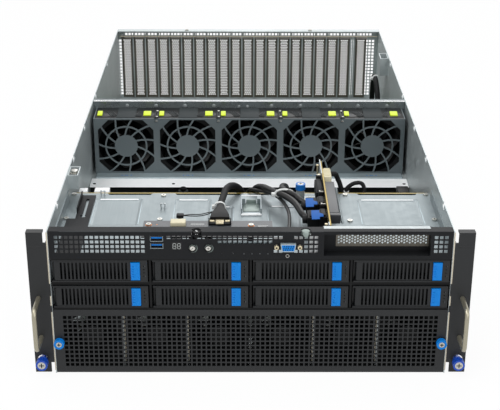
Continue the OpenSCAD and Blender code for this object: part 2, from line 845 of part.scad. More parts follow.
module drive_tray_shape() {
    difference() {
        box([-tray_w / 2, 0, 0], [tray_w / 2, bezel_d, tray_h]);
        box([-tray_w / 2 + bezel_wall, -1, bezel_wall], [pocket_right, pocket_d, tray_h - bezel_wall]);
        box([-tray_w / 2 + bezel_wall + 6, pocket_d - 1, 4], [lever_right - 4, bezel_d + 1, tray_h - 4]);
        box([-tray_w / 2 - 1, -1, bezel_wall], [-tray_w / 2 + bezel_wall + 1, hinge_y + lever_t / 2 + 1, tray_h - bezel_wall]);
        for (k = [0 : 3])
            translate([tray_w / 2 - end_cap_w / 2, -1, tray_h / 2 + (k - 1.5) * 4])
                rod_y(0.7, 4);
    }
    for (z = [bezel_wall - 0.4, tray_h - bezel_wall - 1.6])
        translate([hinge_x, hinge_y, z])
            cylinder(r = hinge_pin_r, h = 2, $fn = round_fn);
    for (s = wall_side)
        box([s > 0 ? tray_w / 2 - tray_wall : -tray_w / 2, bezel_d - 1, 0],
            [s > 0 ? tray_w / 2 : -tray_w / 2 + tray_wall, tray_d, tray_h - 6]);
    box([-tray_w / 2, bezel_d - 1, 0], [tray_w / 2, bezel_d + 14, tray_wall]);
    box([-tray_w / 2, tray_d - 12, 0], [tray_w / 2, tray_d, tray_wall]);
    translate([-drive_w / 2, bezel_d + 0.6, tray_wall])
        cube([drive_w, drive_len, drive_h]);
}

// The lever is a louvred door hinged at its left end. Its knuckle turns on the tray's two pins.
module tray_lever_shape() {
    slot_h = lever_h - 2.2;
    difference() {
        union() {
            translate([0, 0, lever_low])
                linear_extrude(lever_h)
                    polygon([[hinge_x, hinge_y - lever_t / 2], [lever_left + lever_plain_w, 0.4],
                             [lever_right, 0.4], [lever_right, 0.4 + lever_t],
                             [lever_right - 3, 0.4 + lever_t], [lever_right - 3, 2.4],
                             [lever_left + lever_plain_w, 2.4], [hinge_x, hinge_y + lever_t / 2]]);
            translate([hinge_x, hinge_y, lever_low])
                cylinder(r = lever_t / 2, h = lever_h, $fn = round_fn);
        }
        translate([hinge_x, hinge_y, lever_low - 1])
            cylinder(r = hinge_pin_r + pin_gap, h = lever_h + 2, $fn = round_fn);
        for (k = [0 : louvres - 1])
            translate([lever_left + lever_plain_w + 2 + k * louvre_pitch, -1, lever_low + (lever_h - slot_h) / 2])
                cube([louvre_slot_w, lever_t, slot_h]);
    }
}

module release_tab_shape() {
    difference() {
        box([tab_x - tab_w / 2, -1, tray_h / 2 - tab_h / 2], [tab_x + tab_w / 2, tab_d - 1, tray_h / 2 + tab_h / 2]);
        for (k = [-2 : 2])
            translate([tab_x - tab_w / 2 + 1.4, -2, tray_h / 2 + k * 3 - 0.4])
                cube([2.4, 1.5, 0.8]);
    }
}

module in_bay(i) {
    translate([bay_x(i % drive_cols), 0, row_z(floor(i / drive_cols))])
        children();
}

module drive_tray(i) {
    color("#1c1e20") from_front() in_bay(i) drive_tray_shape();
}

module tray_lever(i) {
    color("#26282a") from_front() in_bay(i) tray_lever_shape();
}

module release_tab(i) {
    color("dodgerblue") from_front() in_bay(i) release_tab_shape();
}

// ---------------------------------------------------------------- front panel

panel_z = deck_z;
panel_w = chassis_w - 3;
recess_left = panel_w / 2 - 23.8 - recess_w;
recess_right = recess_left + recess_w;
recess_z = chassis_h - 29;
recess_h = 25;
recess_flange = 7.4;           // top flange over the recess
blank_len = slot_window_h + 1;
blank_x = recess_right - slide_gap - blank_len / 2;
blank_z = recess_z + 15;
grid_z = chassis_h - 15.5;
left_grid_cols = 18;
left_grid_x = -panel_w / 2 + 8.3 + left_grid_cols * vent_pitch / 2 - vent_pitch / 2;
port_cols = 30;                // columns of vents over the ports
port_left = -88.2;
cheek_x = panel_w / 2 - 12.7;
usb_x = -101;
usb_zs = [chassis_h - 17, chassis_h - 8.6];
usb_size = [13.8, 6.2];
display_x = -79.7;
button_xs = [-62.7, -45.7];
vga_x = 40.2;
vga_z = chassis_h - 17.8;
led_xs = [-31.3, -19.1, -7.3, 1.3, 9.9, 18.5];
led_z = chassis_h - 26.5;
button_gap = 0.2;
catch_xs = [-58.3, 59];        // notches of the cover's two catches
catch_r = 5.4;
catch_low = chassis_h - 4.8;

function port_x(i) = port_left + i * vent_pitch;

module port_vent(i, row) {
    translate([port_x(i), grid_z + row * vent_pitch])
        vents(1, 1);
}

module panel_openings() {
    at_xz(left_grid_x, grid_z)
        vents(left_grid_cols, 4);
    at_xz(cheek_x, grid_z)
        vents(3, 4);
    for (i = [0 : port_cols - 1])
        if (abs(port_x(i) - vga_x) > vent_pitch)
            port_vent(i, 1.5);
    for (i = [10 : 20])
        port_vent(i, 0.5);
    for (i = [port_cols - 3 : port_cols - 1], row = wall_side)
        port_vent(i, row / 2);
    for (i = [21, 22, 25, 26, 27, 28, 29])
        port_vent(i, -1.5);
    for (x = catch_xs)
        translate([x - catch_r, catch_low])
            square([2 * catch_r, chassis_h]);
    for (z = usb_zs)
        at_xz(usb_x, z)
            square(usb_size, center = true);
    at_xz(display_x, grid_z - 2)
        square([11, 9], center = true);
    for (x = button_xs)
        at_xz(x, button_z)
            circle(r = button_r + button_gap, $fn = round_fn);
    for (x = led_xs)
        at_xz(x, led_z)
            circle(r = 0.8, $fn = round_fn);
    at_xz(vga_x, vga_z)
        polygon([[-8.9, 4.4], [8.9, 4.4], [7.6, -4.4], [-7.6, -4.4]]);
    translate([recess_left, recess_z])
        square([recess_w, recess_h]);
}

module front_panel() {
    color("#1c1e20") from_front() {
        difference() {
            union() {
                wall_xz(0, sheet_t)
                    difference() {
                        translate([-panel_w / 2, panel_z])
                            square([panel_w, chassis_h - panel_z]);
                        panel_openings();
                    }
                box([-panel_w / 2, 0, chassis_h - sheet_t], [recess_left, panel_flange, chassis_h]);
                box([recess_left, 0, chassis_h - sheet_t], [recess_right, recess_flange, chassis_h]);
                box([recess_right, 0, chassis_h - sheet_t], [panel_w / 2, panel_flange, chassis_h]);
            }
            for (x = catch_xs)
                translate([x, 3, chassis_h - 2 * sheet_t])
                    cylinder(r = catch_r, h = 3 * sheet_t, $fn = round_fn);
        }
        box([-panel_w / 2, 0, panel_z], [panel_w / 2, panel_flange, panel_z + sheet_t]);
        recess_box();
        panel_arm();
    }
}

// Floor, cheeks and window frame of the recess for the front expansion slot.
module recess_box() {
    for (x = [recess_left - sheet_t, recess_right])
        box([x, sheet_t / 2, panel_z], [x + sheet_t, recess_d + sheet_t, chassis_h]);
    box([recess_left, sheet_t / 2, recess_z - sheet_t], [recess_right, recess_d + sheet_t, recess_z]);
    wall_xz(recess_d, sheet_t)
        difference() {
            translate([recess_left, recess_z - sheet_t / 2])
                square([recess_w, chassis_h - sheet_t - recess_z + sheet_t / 2]);
            at_xz(blank_x, blank_z)
                square([cover_rows * cover_step[1] - 1, 14], center = true);
        }
}

// A flat arm runs back over the deck from the left of the panel: a broad foot, then a strip with a
// keyhole slot.
panel_arm_size = [26, 16.5, 101.5, 169.5]; // width of the foot and the strip, end of the foot and the strip
keyhole = [8, 108.5, 158, 3.6];            // distance from the strip's edge, hole, end of the slot, radius

module panel_arm() {
    translate([-inner_w / 2 + 5.8 + panel_arm_size[0], 0, panel_z])
        linear_extrude(2)
            difference() {
                union() {
                    translate([-panel_arm_size[0], panel_flange - 1])
                        square([panel_arm_size[0], panel_arm_size[2] - panel_flange + 1]);
                    translate([-panel_arm_size[1], panel_flange - 1])
                        square([panel_arm_size[1], panel_arm_size[3] - panel_flange + 1]);
                }
                translate([-keyhole[0], keyhole[1]])
                    circle(r = keyhole[3], $fn = round_fn);
                translate([-keyhole[0] - keyhole[3] / 2, keyhole[1]])
                    square([keyhole[3], keyhole[2] - keyhole[1]]);
            }
    box([-inner_w / 2 + 5.8 + panel_arm_size[0] - panel_arm_size[1], keyhole[1] + 8, panel_z],
        [-inner_w / 2 + 5.8 + panel_arm_size[0] - panel_arm_size[1] + sheet_t, keyhole[2] + 8, panel_z + 9]);
}

// ---------------------------------------------------------------- port board

io_z = chassis_h - 10;
io_screws = [[-112, 35], [0.5, 33.4]];

module usb_port() {
    difference() {
        box([-usb_size[0] / 2 + slide_gap / 2, -0.5, -usb_size[1] / 2 + slide_gap / 2],
            [usb_size[0] / 2 - slide_gap / 2, 15, usb_size[1] / 2 - slide_gap / 2]);
        box([-6, -1, -2.3], [6, 11, 2.3]);
    }
    box([-5.6, 0.6, 0], [5.6, 12, 1.8]);
}

module vga_port() {
    difference() {
        wall_xz(-4, 4 + sheet_t + slide_gap)
            polygon([[-8.4, 4], [8.4, 4], [7.2, -4], [-7.2, -4]]);
        for (r = [-1, 0, 1], k = [-2 : 2])
            translate([k * 2.3 + r * 0.6, -5, r * 2.1])
                rod_y(0.55, 3);
    }
    box([-15.5, sheet_t, -4.2], [15.5, 12, 6]);
    for (s = wall_side)
        translate([s * 12.5, -3.4, 0])
            difference() {
                rotate([-90, 0, 0])
                    cylinder(r = 2.7, h = 3.4, $fn = 6);
                translate([0, -1, 0])
                    rod_y(1.2, 3);
            }
}

module io_board() {
    color("#15171a") from_front() {
        difference() {
            box([-118, 5, io_z], [24, 46, io_z + pcb_t]);
            box([usb_x - 8, 0, io_z - 1], [usb_x + 8, 15.4, io_z + 3]);
        }
        for (p = io_screws)
            translate([p[0], p[1], deck_z])
                cylinder(r = 3, h = io_z - deck_z, $fn = round_fn);
        for (z = usb_zs)
            translate([usb_x, 0, z])
                usb_port();
        box([usb_x - 7, 14, usb_zs[0] - 3], [usb_x + 7, 18, io_z + 0.4]);
        translate([vga_x, 0, vga_z])
            vga_port();
        box([vga_x - 5, 3, panel_z + sheet_t], [vga_x + 5, 12, vga_z - 4.2]);
        for (x = button_xs)
            box([x - 4, 5, button_z - 4], [x + 4, 11, io_z + 0.4]);
        box([display_x - 6, sheet_t, grid_z - 7], [display_x + 6, 11, io_z + 0.4]);
    }
}

module push_button(x) {
    color("silver") from_front()
        translate([x, -1.4, button_z])
            difference() {
                rod_y(button_r, 5.4);
                translate([0, -0.6, 0])
                    rod_y(button_r - 0.9, 0.9);
            }
}

// ---------------------------------------------------------------- riser

riser_y = 26;
riser_low = 148;
socket_y = 63;
sas_ys = [58, 94];
sas_size = [9, 22, 14];
sas_z = 152;
riser_knob = [60.5, 168];

module riser_board() {
    color("tan") from_front() {
        box([riser_x, riser_y, riser_low], [riser_x + pcb_t, riser_y + riser_len, riser_top_z]);
        translate([riser_x + pcb_t, socket_y, 166])
            rotate([0, 90, 0])
                slot_socket_block();
        translate([riser_x + pcb_t, socket_y + 100, 160])
            cube([9, 25, 12]);
        for (y = sas_ys)
            translate([riser_x - sas_size[0], y, sas_z])
                cube(sas_size);
    }
}

module riser_bracket() {
    end = riser_y + riser_len;
    color("silver") from_front() {
        box([riser_x - sheet_t, end - 45, deck_z], [riser_x, end, riser_top_z + 2]);
        box([riser_knob[0] - 8, end - 58, deck_z], [riser_x, cage_d - 12, deck_z + sheet_t]);
        box([riser_x - sheet_t, riser_y, panel_z], [riser_x, riser_y + 8, riser_top_z]);
        box([riser_x - 8, riser_y, deck_z], [riser_x, riser_y + 8, deck_z + sheet_t]);
        translate([riser_knob[0], end - 50, deck_z])
            cylinder(r = 5, h = 9, $fn = round_fn);
        box([recess_left, recess_flange + 0.2, chassis_h - sheet_t],
            [recess_right, recess_d + sheet_t, chassis_h]);
    }
}

// ---------------------------------------------------------------- ears, handles, thumbscrews

ear_low = (chassis_h - ear_h) / 2;
ear_web_z = chassis_h / 2 - ear_web_h / 2;
ear_x = rack_w / 2 - ear_flange_w / 2;

module ear_outline() {
    outer = rack_w / 2;
    difference() {
        union() {
            translate([outer - ear_flange_w, ear_low])
                square([ear_flange_w, ear_h]);
            translate([chassis_w / 2, ear_web_z])
                square([outer - chassis_w / 2, ear_web_h]);
        }
        for (dz = [0, 2.4])
            translate([ear_x, ear_hole_z + dz])
                circle(r = ear_hole_r, $fn = round_fn);
        translate([ear_x - ear_hole_r, ear_hole_z])
            square([2 * ear_hole_r, 2.4]);
    }
}

module rack_ears() {
    color("#1c1e20") from_front()
        for (m = [0, 1])
            mirror([m, 0, 0]) {
                wall_xz(0, ear_t)
                    ear_outline();
                box([chassis_w / 2, 0, ear_web_z], [chassis_w / 2 + ear_t, ear_side_d, ear_web_z + ear_web_h]);
                box([rack_w / 2 - ear_flange_w, 0, ear_low + ear_h - ear_t],
                    [rack_w / 2, 9, ear_low + ear_h]);
            }
}

module bend_quarter() {
    rotate_extrude(angle = 90, $fn = round_fn)
        translate([handle_bend_r, 0])
            circle(r = handle_r, $fn = round_fn);
}

// A bar bent into a U, drawn in Y and Z, with its two ends seated on the ear.
module u_handle() {
    leg = handle_reach - handle_bend_r - handle_r;
    for (z = [0, handle_span])
        translate([0, -leg, z])
            rod_y(handle_r, leg);
    translate([0, -leg - handle_bend_r, handle_bend_r])
        cylinder(r = handle_r, h = handle_span - 2 * handle_bend_r, $fn = round_fn);
    translate([0, -leg, handle_bend_r])
        rotate([90, 0, 90])
            rotate(180)
                bend_quarter();
    translate([0, -leg, handle_span - handle_bend_r])
        rotate([90, 0, 90])
            rotate(90)
                bend_quarter();
}

module ear_handles() {
    color("gainsboro") from_front()
        for (s = wall_side)
            translate([s * ear_x, 0, handle_z])
                u_handle();
}

// A knurled knob, its collar and its shank, drawn along +Y from the knob's face.
module thumbscrew(r, len, neck_r, neck_len) {
    grooves = 16;
    difference() {
        rod_y(r, len);
        for (k = [0 : grooves - 1])
            rotate([0, k * 360 / grooves, 0])
                translate([r + 0.35, 1.4, 0])
                    rod_y(0.8, len - 3);
        translate([0, -1, 0])
            rod_y(r * 0.62, 1.8);
    }
    difference() {
        translate([0, 0.2, 0])
            rod_y(r * 0.62, 1);
        box([-r, -1, -0.5], [r, 0.9, 0.5]);
    }
    translate([0, len - 0.5, 0])
        rod_y(neck_r, neck_len + 0.5);
}

module captive_thumbscrews() {
    color("royalblue") from_front() {
        for (s = wall_side)
            translate([s * ear_x, -knob_len - collar_len, ear_hole_z]) {
                thumbscrew(knob_r, knob_len, ear_hole_r - 0.1, collar_len + ear_t);
                rod_y(shank_r, knob_len + collar_len + ear_t + shank_len);
            }
        translate([riser_knob[0], riser_y + riser_len - 50, deck_z + 9 + 10.5])
            rotate([-90, 0, 0])
                thumbscrew(5.9, 7, 4, 3.5);
    }
}

// ---------------------------------------------------------------- front grille

module grille_panel() {
    color("#1c1e20") from_front() {
        wall_xz(0, sheet_t)
            difference() {
                translate([-grille_w / 2, grille_gap])
                    square([grille_w, grille_h]);
                at_xz(0, grille_gap + grille_h / 2)
                    vents(grille_cols, grille_rows);
                for (s = wall_side)
                    at_xz(s * grille_knob_x, grille_knob_z)
                        circle(r = grille_neck_r + 0.1, $fn = round_fn);
            }
        for (s = wall_side)
            box([s > 0 ? grille_w / 2 - sheet_t : -grille_w / 2, 0, grille_gap + 0.6],
                [s > 0 ? grille_w / 2 : -grille_w / 2 + sheet_t, grille_lip, grille_gap + grille_h]);
        box([-grille_w / 2, 0, grille_gap + grille_h - sheet_t], [grille_w / 2, grille_lip, grille_gap + grille_h]);
        box([-grille_w / 2, 0, sheet_t + 0.4], [grille_w / 2, grille_lip, 2 * sheet_t + 0.4]);
    }
}

grille_knob_x = grille_w / 2 - 5;
grille_knob_len = 5.6;
grille_neck_r = 3;

module grille_thumbscrews() {
    color("deepskyblue") from_front()
        for (s = wall_side)
            translate([s * grille_knob_x, -grille_knob_len - 1, grille_knob_z])
                thumbscrew(5.7, grille_knob_len, grille_neck_r, 3);
}

// ---------------------------------------------------------------- cables

function unit(v) = v / norm(v);
function tangent(p, i) = unit(p[min(i + 1, len(p) - 1)] - p[max(i - 1, 0)]);
function ring(c, t, ref, r, n) =
    let (u = unit(cross(ref, t)), v = cross(t, u))
    [for (k = [0 : n - 1]) c + r * (u * cos(360 * k / n) + v * sin(360 * k / n))];
function flat(v) = [for (row = v) for (item = row) item];

// A tube swept through the points p; ref is a direction that the route never follows.
module tube(p, r, ref) {
    n = 8;
    m = len(p);
    points = flat([for (i = [0 : m - 1]) ring(p[i], tangent(p, i), ref, r, n)]);
    sides = flat([for (i = [0 : m - 2]) [for (k = [0 : n - 1])
        [i * n + k, i * n + (k + 1) % n, (i + 1) * n + (k + 1) % n, (i + 1) * n + k]]]);
    polyhedron(points, concat([[for (k = [n - 1 : -1 : 0]) k]], [[for (k = [0 : n - 1]) (m - 1) * n + k]],
        [for (f = sides) [f[3], f[2], f[1], f[0]]]));
}

// Routes: the sleeved bundle of the port board, two riser leads, the port board's thin lead, the
// riser's power lead, a loop of spare lead beside it, and the power lead of the rear bay.
bundle_route = [[-33, 64, 165], [-33, 72, 165], [-35.5, 92, 162], [-34, 113, 160], [-31.5, 138, 158],
                [-27.8, 162, 157.5], [-21.5, 175, 155.5], [-14.5, 184, 149], [-10, 192, 139],
                [-9.5, 199, 125], [-11, 207, 103], [-13.5, 214, 80], [-14, 219, 55], [-14, 219, 20]];
lead_1_route = [[64, 70, 160], [60, 74, 161.5], [56.5, 84, 163], [52, 99, 164.5], [44.3, 117.6, 164],
                [35.3, 132.8, 162.5], [27.5, 145.8, 160.5], [22, 158, 158], [14.4, 178, 152.5],
                [8.5, 187, 148], [3.5, 194, 139], [1, 200, 126], [-2, 210, 98], [-4.5, 219, 60],
                [-4.5, 219, 20]];
lead_2_route = [[64, 107, 161], [58, 112, 163.5], [54, 121, 164.5], [45, 134, 164], [39, 147, 162.5],
                [38.5, 162, 159.5], [41, 176, 154.5], [44, 188, 147.5], [44.5, 196, 137], [40, 203, 118],
                [28, 212, 85], [12, 218, 50], [5, 219, 21.2]];
thin_route = [[40, 12, 157], [40, 20, 157], [42.5, 45, 157.5], [44, 68, 158], [44, 86, 158], [42, 104, 158],
              [37.5, 126, 156.5], [32.5, 139, 156], [20, 166, 150.5], [10, 176, 148.5], [0, 184, 146],
              [-3, 192, 136], [-1, 200, 120], [4, 209, 100], [13, 219, 50], [13, 219, 20]];
riser_power_route = [[97.3, 182, 168], [100.3, 182, 168], [103.5, 186, 166], [106.5, 190, 159],
                     [110.5, 191, 149], [112.5, 191.5, 138], [113, 191, 124], [113, 190, 112.6]];
loop_route = [[121, 190, 112.8], [120.5, 192, 124], [118.5, 195, 134], [119, 197, 141.5], [124, 198, 146.5],
              [131, 199, 149], [137.5, 199, 148], [140.5, 197, 142.5], [140, 194, 133], [139, 190, 112.8]];
rear_power_route = [[200, 588, 60], [200, 588, 78], [200, 598, 105], [199, 612, 132], [198, 635, 143],
                    [198, 660, 137], [199, 678, 112], [200, 688, 84], [200, 688, 60]];

// Plugs that the leads end in: [low corner, high corner].
lead_plugs = [[[-44, 46, 159], [-22, 64, 171]], [[64, 58, 152], [riser_x - 9, 80, 166]],
              [[64, 94, 152], [riser_x - 9, 116, 166]]];

module cables() {
    color("#1a1a1c") from_front() {
        tube(bundle_route, 4, [1, 0, 0]);
        tube(lead_1_route, 3.7, [0.3, 0.2, 1]);
        tube(lead_2_route, 3.7, [0.3, 0.2, 1]);
        tube(thin_route, 2, [1, 0, 0]);
        tube(riser_power_route, 3, [0, 1, 0]);
        tube(loop_route, 2.5, [0, 1, 0]);
        tube(rear_power_route, 4, [1, 0, 0]);
        for (plug = lead_plugs)
            box(plug[0], plug[1]);
    }
}

// ---------------------------------------------------------------- screws

deck_edge_x = inner_w / 2 - 4.6;
deck_screws = [[-deck_edge_x, 176], [-deck_edge_x, 104.8], [-104.6, 172], [-104.7, 102], [115.3, 174.7],
               [deck_edge_x, 175], [115.2, 99.1], [deck_edge_x, 101.9]];
rear_screw_x = 103;

module pan_head(r, h) {
    difference() {
        cylinder(r = r, h = h, $fn = round_fn);
        for (a = [0, 90])
            rotate(a)
                translate([-r * 0.6, -0.35, h - 0.7])
                    cube([r * 1.2, 0.7, 2]);
    }
}

module screws() {
    color("silver") from_front() {
        for (p = deck_screws)
            translate([p[0], p[1], deck_z])
                pan_head(3, 1.6);
        for (x = [-rear_screw_x, rear_screw_x])
            translate([x, body_d - flange_d / 2, chassis_h])
                pan_head(3, 1.6);
        for (p = io_screws)
            translate([p[0], p[1], io_z + pcb_t])
                pan_head(2.8, 1.6);
    }
}

// ---------------------------------------------------------------- nodes

chassis_shell();
rear_panel();
slot_covers();
gpu_board();
power_supplies();
fan_wall();
fan_housings();
mainboard();
cpu_heatsinks();
drive_cage();
drive_backplane();
front_panel();
io_board();
riser_board();
riser_bracket();
rack_ears();
ear_handles();
captive_thumbscrews();
front_fan_housings();
cables();
screws();
grille_panel();
grille_thumbscrews();
push_button(button_xs[0]);  // power_button
push_button(button_xs[1]);  // id_button
for (i = [0 : 4])
    fan_rotor(i);
for (i = [0 : 5])
    front_fan_rotor(i);
for (i = [0 : 7])
    drive_tray(i);
for (i = [0 : 7])
    tray_lever(i);
for (i = [0 : 7])
    release_tab(i);
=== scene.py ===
"""Looks of the open 4U GPU server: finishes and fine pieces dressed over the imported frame.

Lengths are in millimetres from the front face, as on the maker's drawing, and place() turns a
point of that drawing into the frame's metres. Every new piece rides on the body that carries it.
"""
import logging
import math
from dataclasses import dataclass
from enum import Enum
from typing import Dict, List, Optional, Sequence, Tuple, Union

import bmesh
import bpy
from mathutils import Matrix, Vector


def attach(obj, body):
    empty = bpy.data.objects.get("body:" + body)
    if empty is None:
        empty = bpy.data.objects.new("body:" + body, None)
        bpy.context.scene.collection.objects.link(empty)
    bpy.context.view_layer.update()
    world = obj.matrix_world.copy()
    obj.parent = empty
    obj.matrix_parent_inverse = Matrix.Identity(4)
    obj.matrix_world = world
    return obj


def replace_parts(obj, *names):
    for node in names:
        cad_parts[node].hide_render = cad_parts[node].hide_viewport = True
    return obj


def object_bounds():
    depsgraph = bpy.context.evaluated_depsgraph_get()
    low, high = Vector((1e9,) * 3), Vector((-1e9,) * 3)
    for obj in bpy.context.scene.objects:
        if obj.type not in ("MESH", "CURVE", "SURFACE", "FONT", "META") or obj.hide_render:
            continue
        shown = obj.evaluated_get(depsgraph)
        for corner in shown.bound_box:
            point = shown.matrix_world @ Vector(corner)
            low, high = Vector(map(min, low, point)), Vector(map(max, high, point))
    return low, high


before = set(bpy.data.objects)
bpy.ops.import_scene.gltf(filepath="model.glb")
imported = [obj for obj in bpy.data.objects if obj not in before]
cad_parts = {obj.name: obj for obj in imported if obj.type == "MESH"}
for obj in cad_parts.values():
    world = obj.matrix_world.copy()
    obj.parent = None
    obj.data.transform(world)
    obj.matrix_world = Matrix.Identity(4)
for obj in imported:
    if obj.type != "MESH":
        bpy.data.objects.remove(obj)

LOG = logging.getLogger("server")
Point = Tuple[float, float, float]
Span = Tuple[float, float]
Tree = bpy.types.NodeTree
Node = bpy.types.Node
Socket = bpy.types.NodeSocket
Inputs = Dict[Union[str, int], object]
CAD_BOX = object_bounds()
MM = 0.001                  # a millimetre in metres
FRONT_Y = -0.4              # the front face in the frame, in metres
CHASSIS = "chassis"         # the body of everything that doesn't move
WHITE = (1.0, 1.0, 1.0, 1.0)
COAT_CLOUD = 90.0           # mm across one slow change of shade on paint or plastic
ZINC_CLOUD = 120.0          # mm across one on bare zinc
NOISE_SPAN = (0.3, 0.7)     # most values of a noise lie between these
GRAIN_HEIGHT = 0.3          # height of a grain as a share of its width
FOLD = 0.5                  # radians between two faces from which the edge between them is softened
SAME = 0.001                # mm within which two vertices are one


def place(x: float, y: float, z: float) -> Vector:
    """Turns a point of the drawing, in millimetres behind the front face, into the frame's metres."""
    return Vector((x * MM, y * MM + FRONT_Y, z * MM))


def hex_linear(code: str) -> Tuple[float, float, float, float]:
    """Turns an sRGB hex colour into linear RGBA.

    Args:
        code: six hex digits with a leading hash.

    Returns:
        The linear colour with an alpha of 1.
    """
    channels = [int(code[k:k + 2], 16) / 255 for k in (1, 3, 5)]
    linear = [c / 12.92 if c <= 0.04045 else ((c + 0.055) / 1.055) ** 2.4 for c in channels]
    return (linear[0], linear[1], linear[2], 1.0)


def add_node(tree: Tree, kind: str, inputs: Optional[Inputs] = None, **settings: str) -> Node:
    """Adds one shader node with its settings and links.

    Args:
        tree: the node tree that gets the node.
        kind: the node's type name, without the ShaderNode that each begins with.
        inputs: socket name or index to a value, or to the output socket that feeds it.
        settings: the node's own attributes.

    Returns:
        The new node.
    """
    node = tree.nodes.new("ShaderNode" + kind)
    for name, value in settings.items():
        setattr(node, name, value)
    for name, value in (inputs or {}).items():
        if isinstance(value, Socket):
            tree.links.new(value, node.inputs[name])
        else:
            node.inputs[name].default_value = value
    return node


def blank_material(name: str) -> Tuple[bpy.types.Material, Tree]:
    """Makes a material with an empty node tree.

    Args:
        name: its name.

    Returns:
        The material and its tree.
    """
    made = bpy.data.materials.new(name)
    made.use_nodes = True
    made.node_tree.nodes.clear()
    return made, made.node_tree


def put(name: str, data: bpy.types.ID) -> bpy.types.Object:
    """Puts a mesh, lamp or camera in the scene.

    Args:
        name: the new object's name.
        data: what it shows.

    Returns:
        The new object, at the origin.
    """
    made = bpy.data.objects.new(name, data)
    bpy.context.scene.collection.objects.link(made)
    return made


def per_mm(size: float) -> float:
    """Gives the texture scale at which one cell or wave is size millimetres wide."""
    return 1.0 / (size * MM)


# ---------------------------------------------------------------- finishes


@dataclass(frozen=True)
class Finish:
    """A surface finish: what the material is, and how its face was made.

    Args:
        name: the maker's name of the finish.
        tone: its main colour, sRGB hex.
        shade: the second colour that its grain, spangle or scuffs run to.
        metallic: 1 for a bare metal, 0 for paint or plastic.
        roughness: mean roughness.
        spread: how far the roughness wanders about its mean.
        grain: size of the surface texture in millimetres.
        relief: strength of the bump that the texture gives.
        gloss: specular level, lower where a coat scatters what falls on it.
    """

    name: str
    tone: str
    shade: str
    metallic: float = 0.0
    roughness: float = 0.5
    spread: float = 0.08
    grain: float = 1.0
    relief: float = 0.1
    gloss: float = 0.5

    def material(self) -> bpy.types.Material:
        """Gives the finish's material, made once.

        Returns:
            The material, the same one for every piece of this finish.
        """
        found = bpy.data.materials.get(self.name)
        if found:
            return found
        made, tree = blank_material(self.name)
        shader = self.shade_tree(tree, add_node(tree, "TexCoord").outputs["Object"])
        add_node(tree, "OutputMaterial", {"Surface": shader.outputs[0]})
        return made

    def two_tone(self, tree: Tree, factor: Socket) -> Socket:
        """Gives the colour that a factor picks between the tone and the shade."""
        return add_node(tree, "Mix", {0: factor, 6: hex_linear(self.tone), 7: hex_linear(self.shade)},
                        data_type="RGBA").outputs[2]

    def wander(self, tree: Tree, value: Socket, span: Span) -> Socket:
        """Gives the roughness about its mean that a value within a span picks.

        Args:
            tree: the material's node tree.
            value: what the pattern gives at a point.
            span: the values that give the least and the most roughness.

        Returns:
            The roughness.
        """
        return add_node(tree, "MapRange", {"Value": value, "From Min": span[0], "From Max": span[1],
                                           "To Min": self.roughness - self.spread,
                                           "To Max": self.roughness + self.spread}).outputs[0]

    def shade_tree(self, tree: Tree, where: Socket) -> Node:
        """Builds the shader of a fine, even texture such as moulded plastic or powder coat.

        Args:
            tree: the material's node tree.
            where: the coordinates that the pattern reads.

        Returns:
            The shader node.
        """
        fine = add_node(tree, "TexNoise", {"Vector": where, "Scale": per_mm(self.grain), "Detail": 3.0})
        broad = add_node(tree, "TexNoise", {"Vector": where, "Scale": per_mm(COAT_CLOUD), "Detail": 2.0})
        bump = add_node(tree, "Bump", {"Height": fine.outputs["Fac"], "Strength": self.relief,
                                       "Distance": self.grain * MM * GRAIN_HEIGHT})
        return add_node(tree, "BsdfPrincipled", {
            "Base Color": self.two_tone(tree, broad.outputs["Fac"]), "Metallic": self.metallic,
            "Roughness": self.wander(tree, broad.outputs["Fac"], NOISE_SPAN),
            "Specular IOR Level": self.gloss, "Normal": bump.outputs[0]})


@dataclass(frozen=True)
class SheetSteel(Finish):
    """Hot-dip galvanised sheet: pale crystals of zinc over long, faint rolling marks.

    Its pattern is sized by the lengths below, in place of the grain.

    Args:
        spangle: size of a zinc crystal in millimetres.
        roll: distance between two rolling marks in millimetres.
        spangle_share: how much of the colour's change comes from the crystals.
        roll_height: height of the rolling marks in millimetres.
        roll_stretch: width of a rolling mark as a share of its length, which runs front to back.
    """

    metallic: float = 0.6
    roughness: float = 0.42
    relief: float = 0.05
    spangle: float = 7.0
    roll: float = 1.4
    spangle_share: float = 0.35
    roll_height: float = 0.1
    roll_stretch: float = 0.03

    def shade_tree(self, tree: Tree, where: Socket) -> Node:
        """Builds the shader of zinc crystals and rolling marks on bare sheet.

        Args:
            tree: the material's node tree.
            where: the coordinates that the pattern reads.

        Returns:
            The shader node.
        """
        crystal = add_node(tree, "TexVoronoi", {"Vector": where, "Scale": per_mm(self.spangle)})
        grey = add_node(tree, "RGBToBW", {"Color": crystal.outputs["Color"]})
        stretch = add_node(tree, "Mapping", {"Vector": where, "Scale": (1.0, self.roll_stretch, 1.0)})
        marks = add_node(tree, "TexNoise", {"Vector": stretch.outputs[0], "Scale": per_mm(self.roll),
                                            "Detail": 2.0})
        cloud = add_node(tree, "TexNoise", {"Vector": where, "Scale": per_mm(ZINC_CLOUD), "Detail": 3.0})
        share = add_node(tree, "Math", {0: grey.outputs[0], 1: self.spangle_share}, operation="MULTIPLY")
        blend = add_node(tree, "Math", {0: share.outputs[0], 1: cloud.outputs["Fac"]}, operation="ADD")
        pick = add_node(tree, "MapRange", {"Value": blend.outputs[0], "From Min": 0.35, "From Max": 0.95})
        mixed = add_node(tree, "Math", {0: marks.outputs["Fac"], 1: grey.outputs[0]}, operation="ADD")
        bump = add_node(tree, "Bump", {"Height": marks.outputs["Fac"], "Strength": self.relief,
                                       "Distance": self.roll_height * MM})
        return add_node(tree, "BsdfPrincipled", {
            "Base Color": self.two_tone(tree, pick.outputs[0]), "Metallic": self.metallic,
            "Roughness": self.wander(tree, mixed.outputs[0], (0.5, 1.3)), "Normal": bump.outputs[0]})


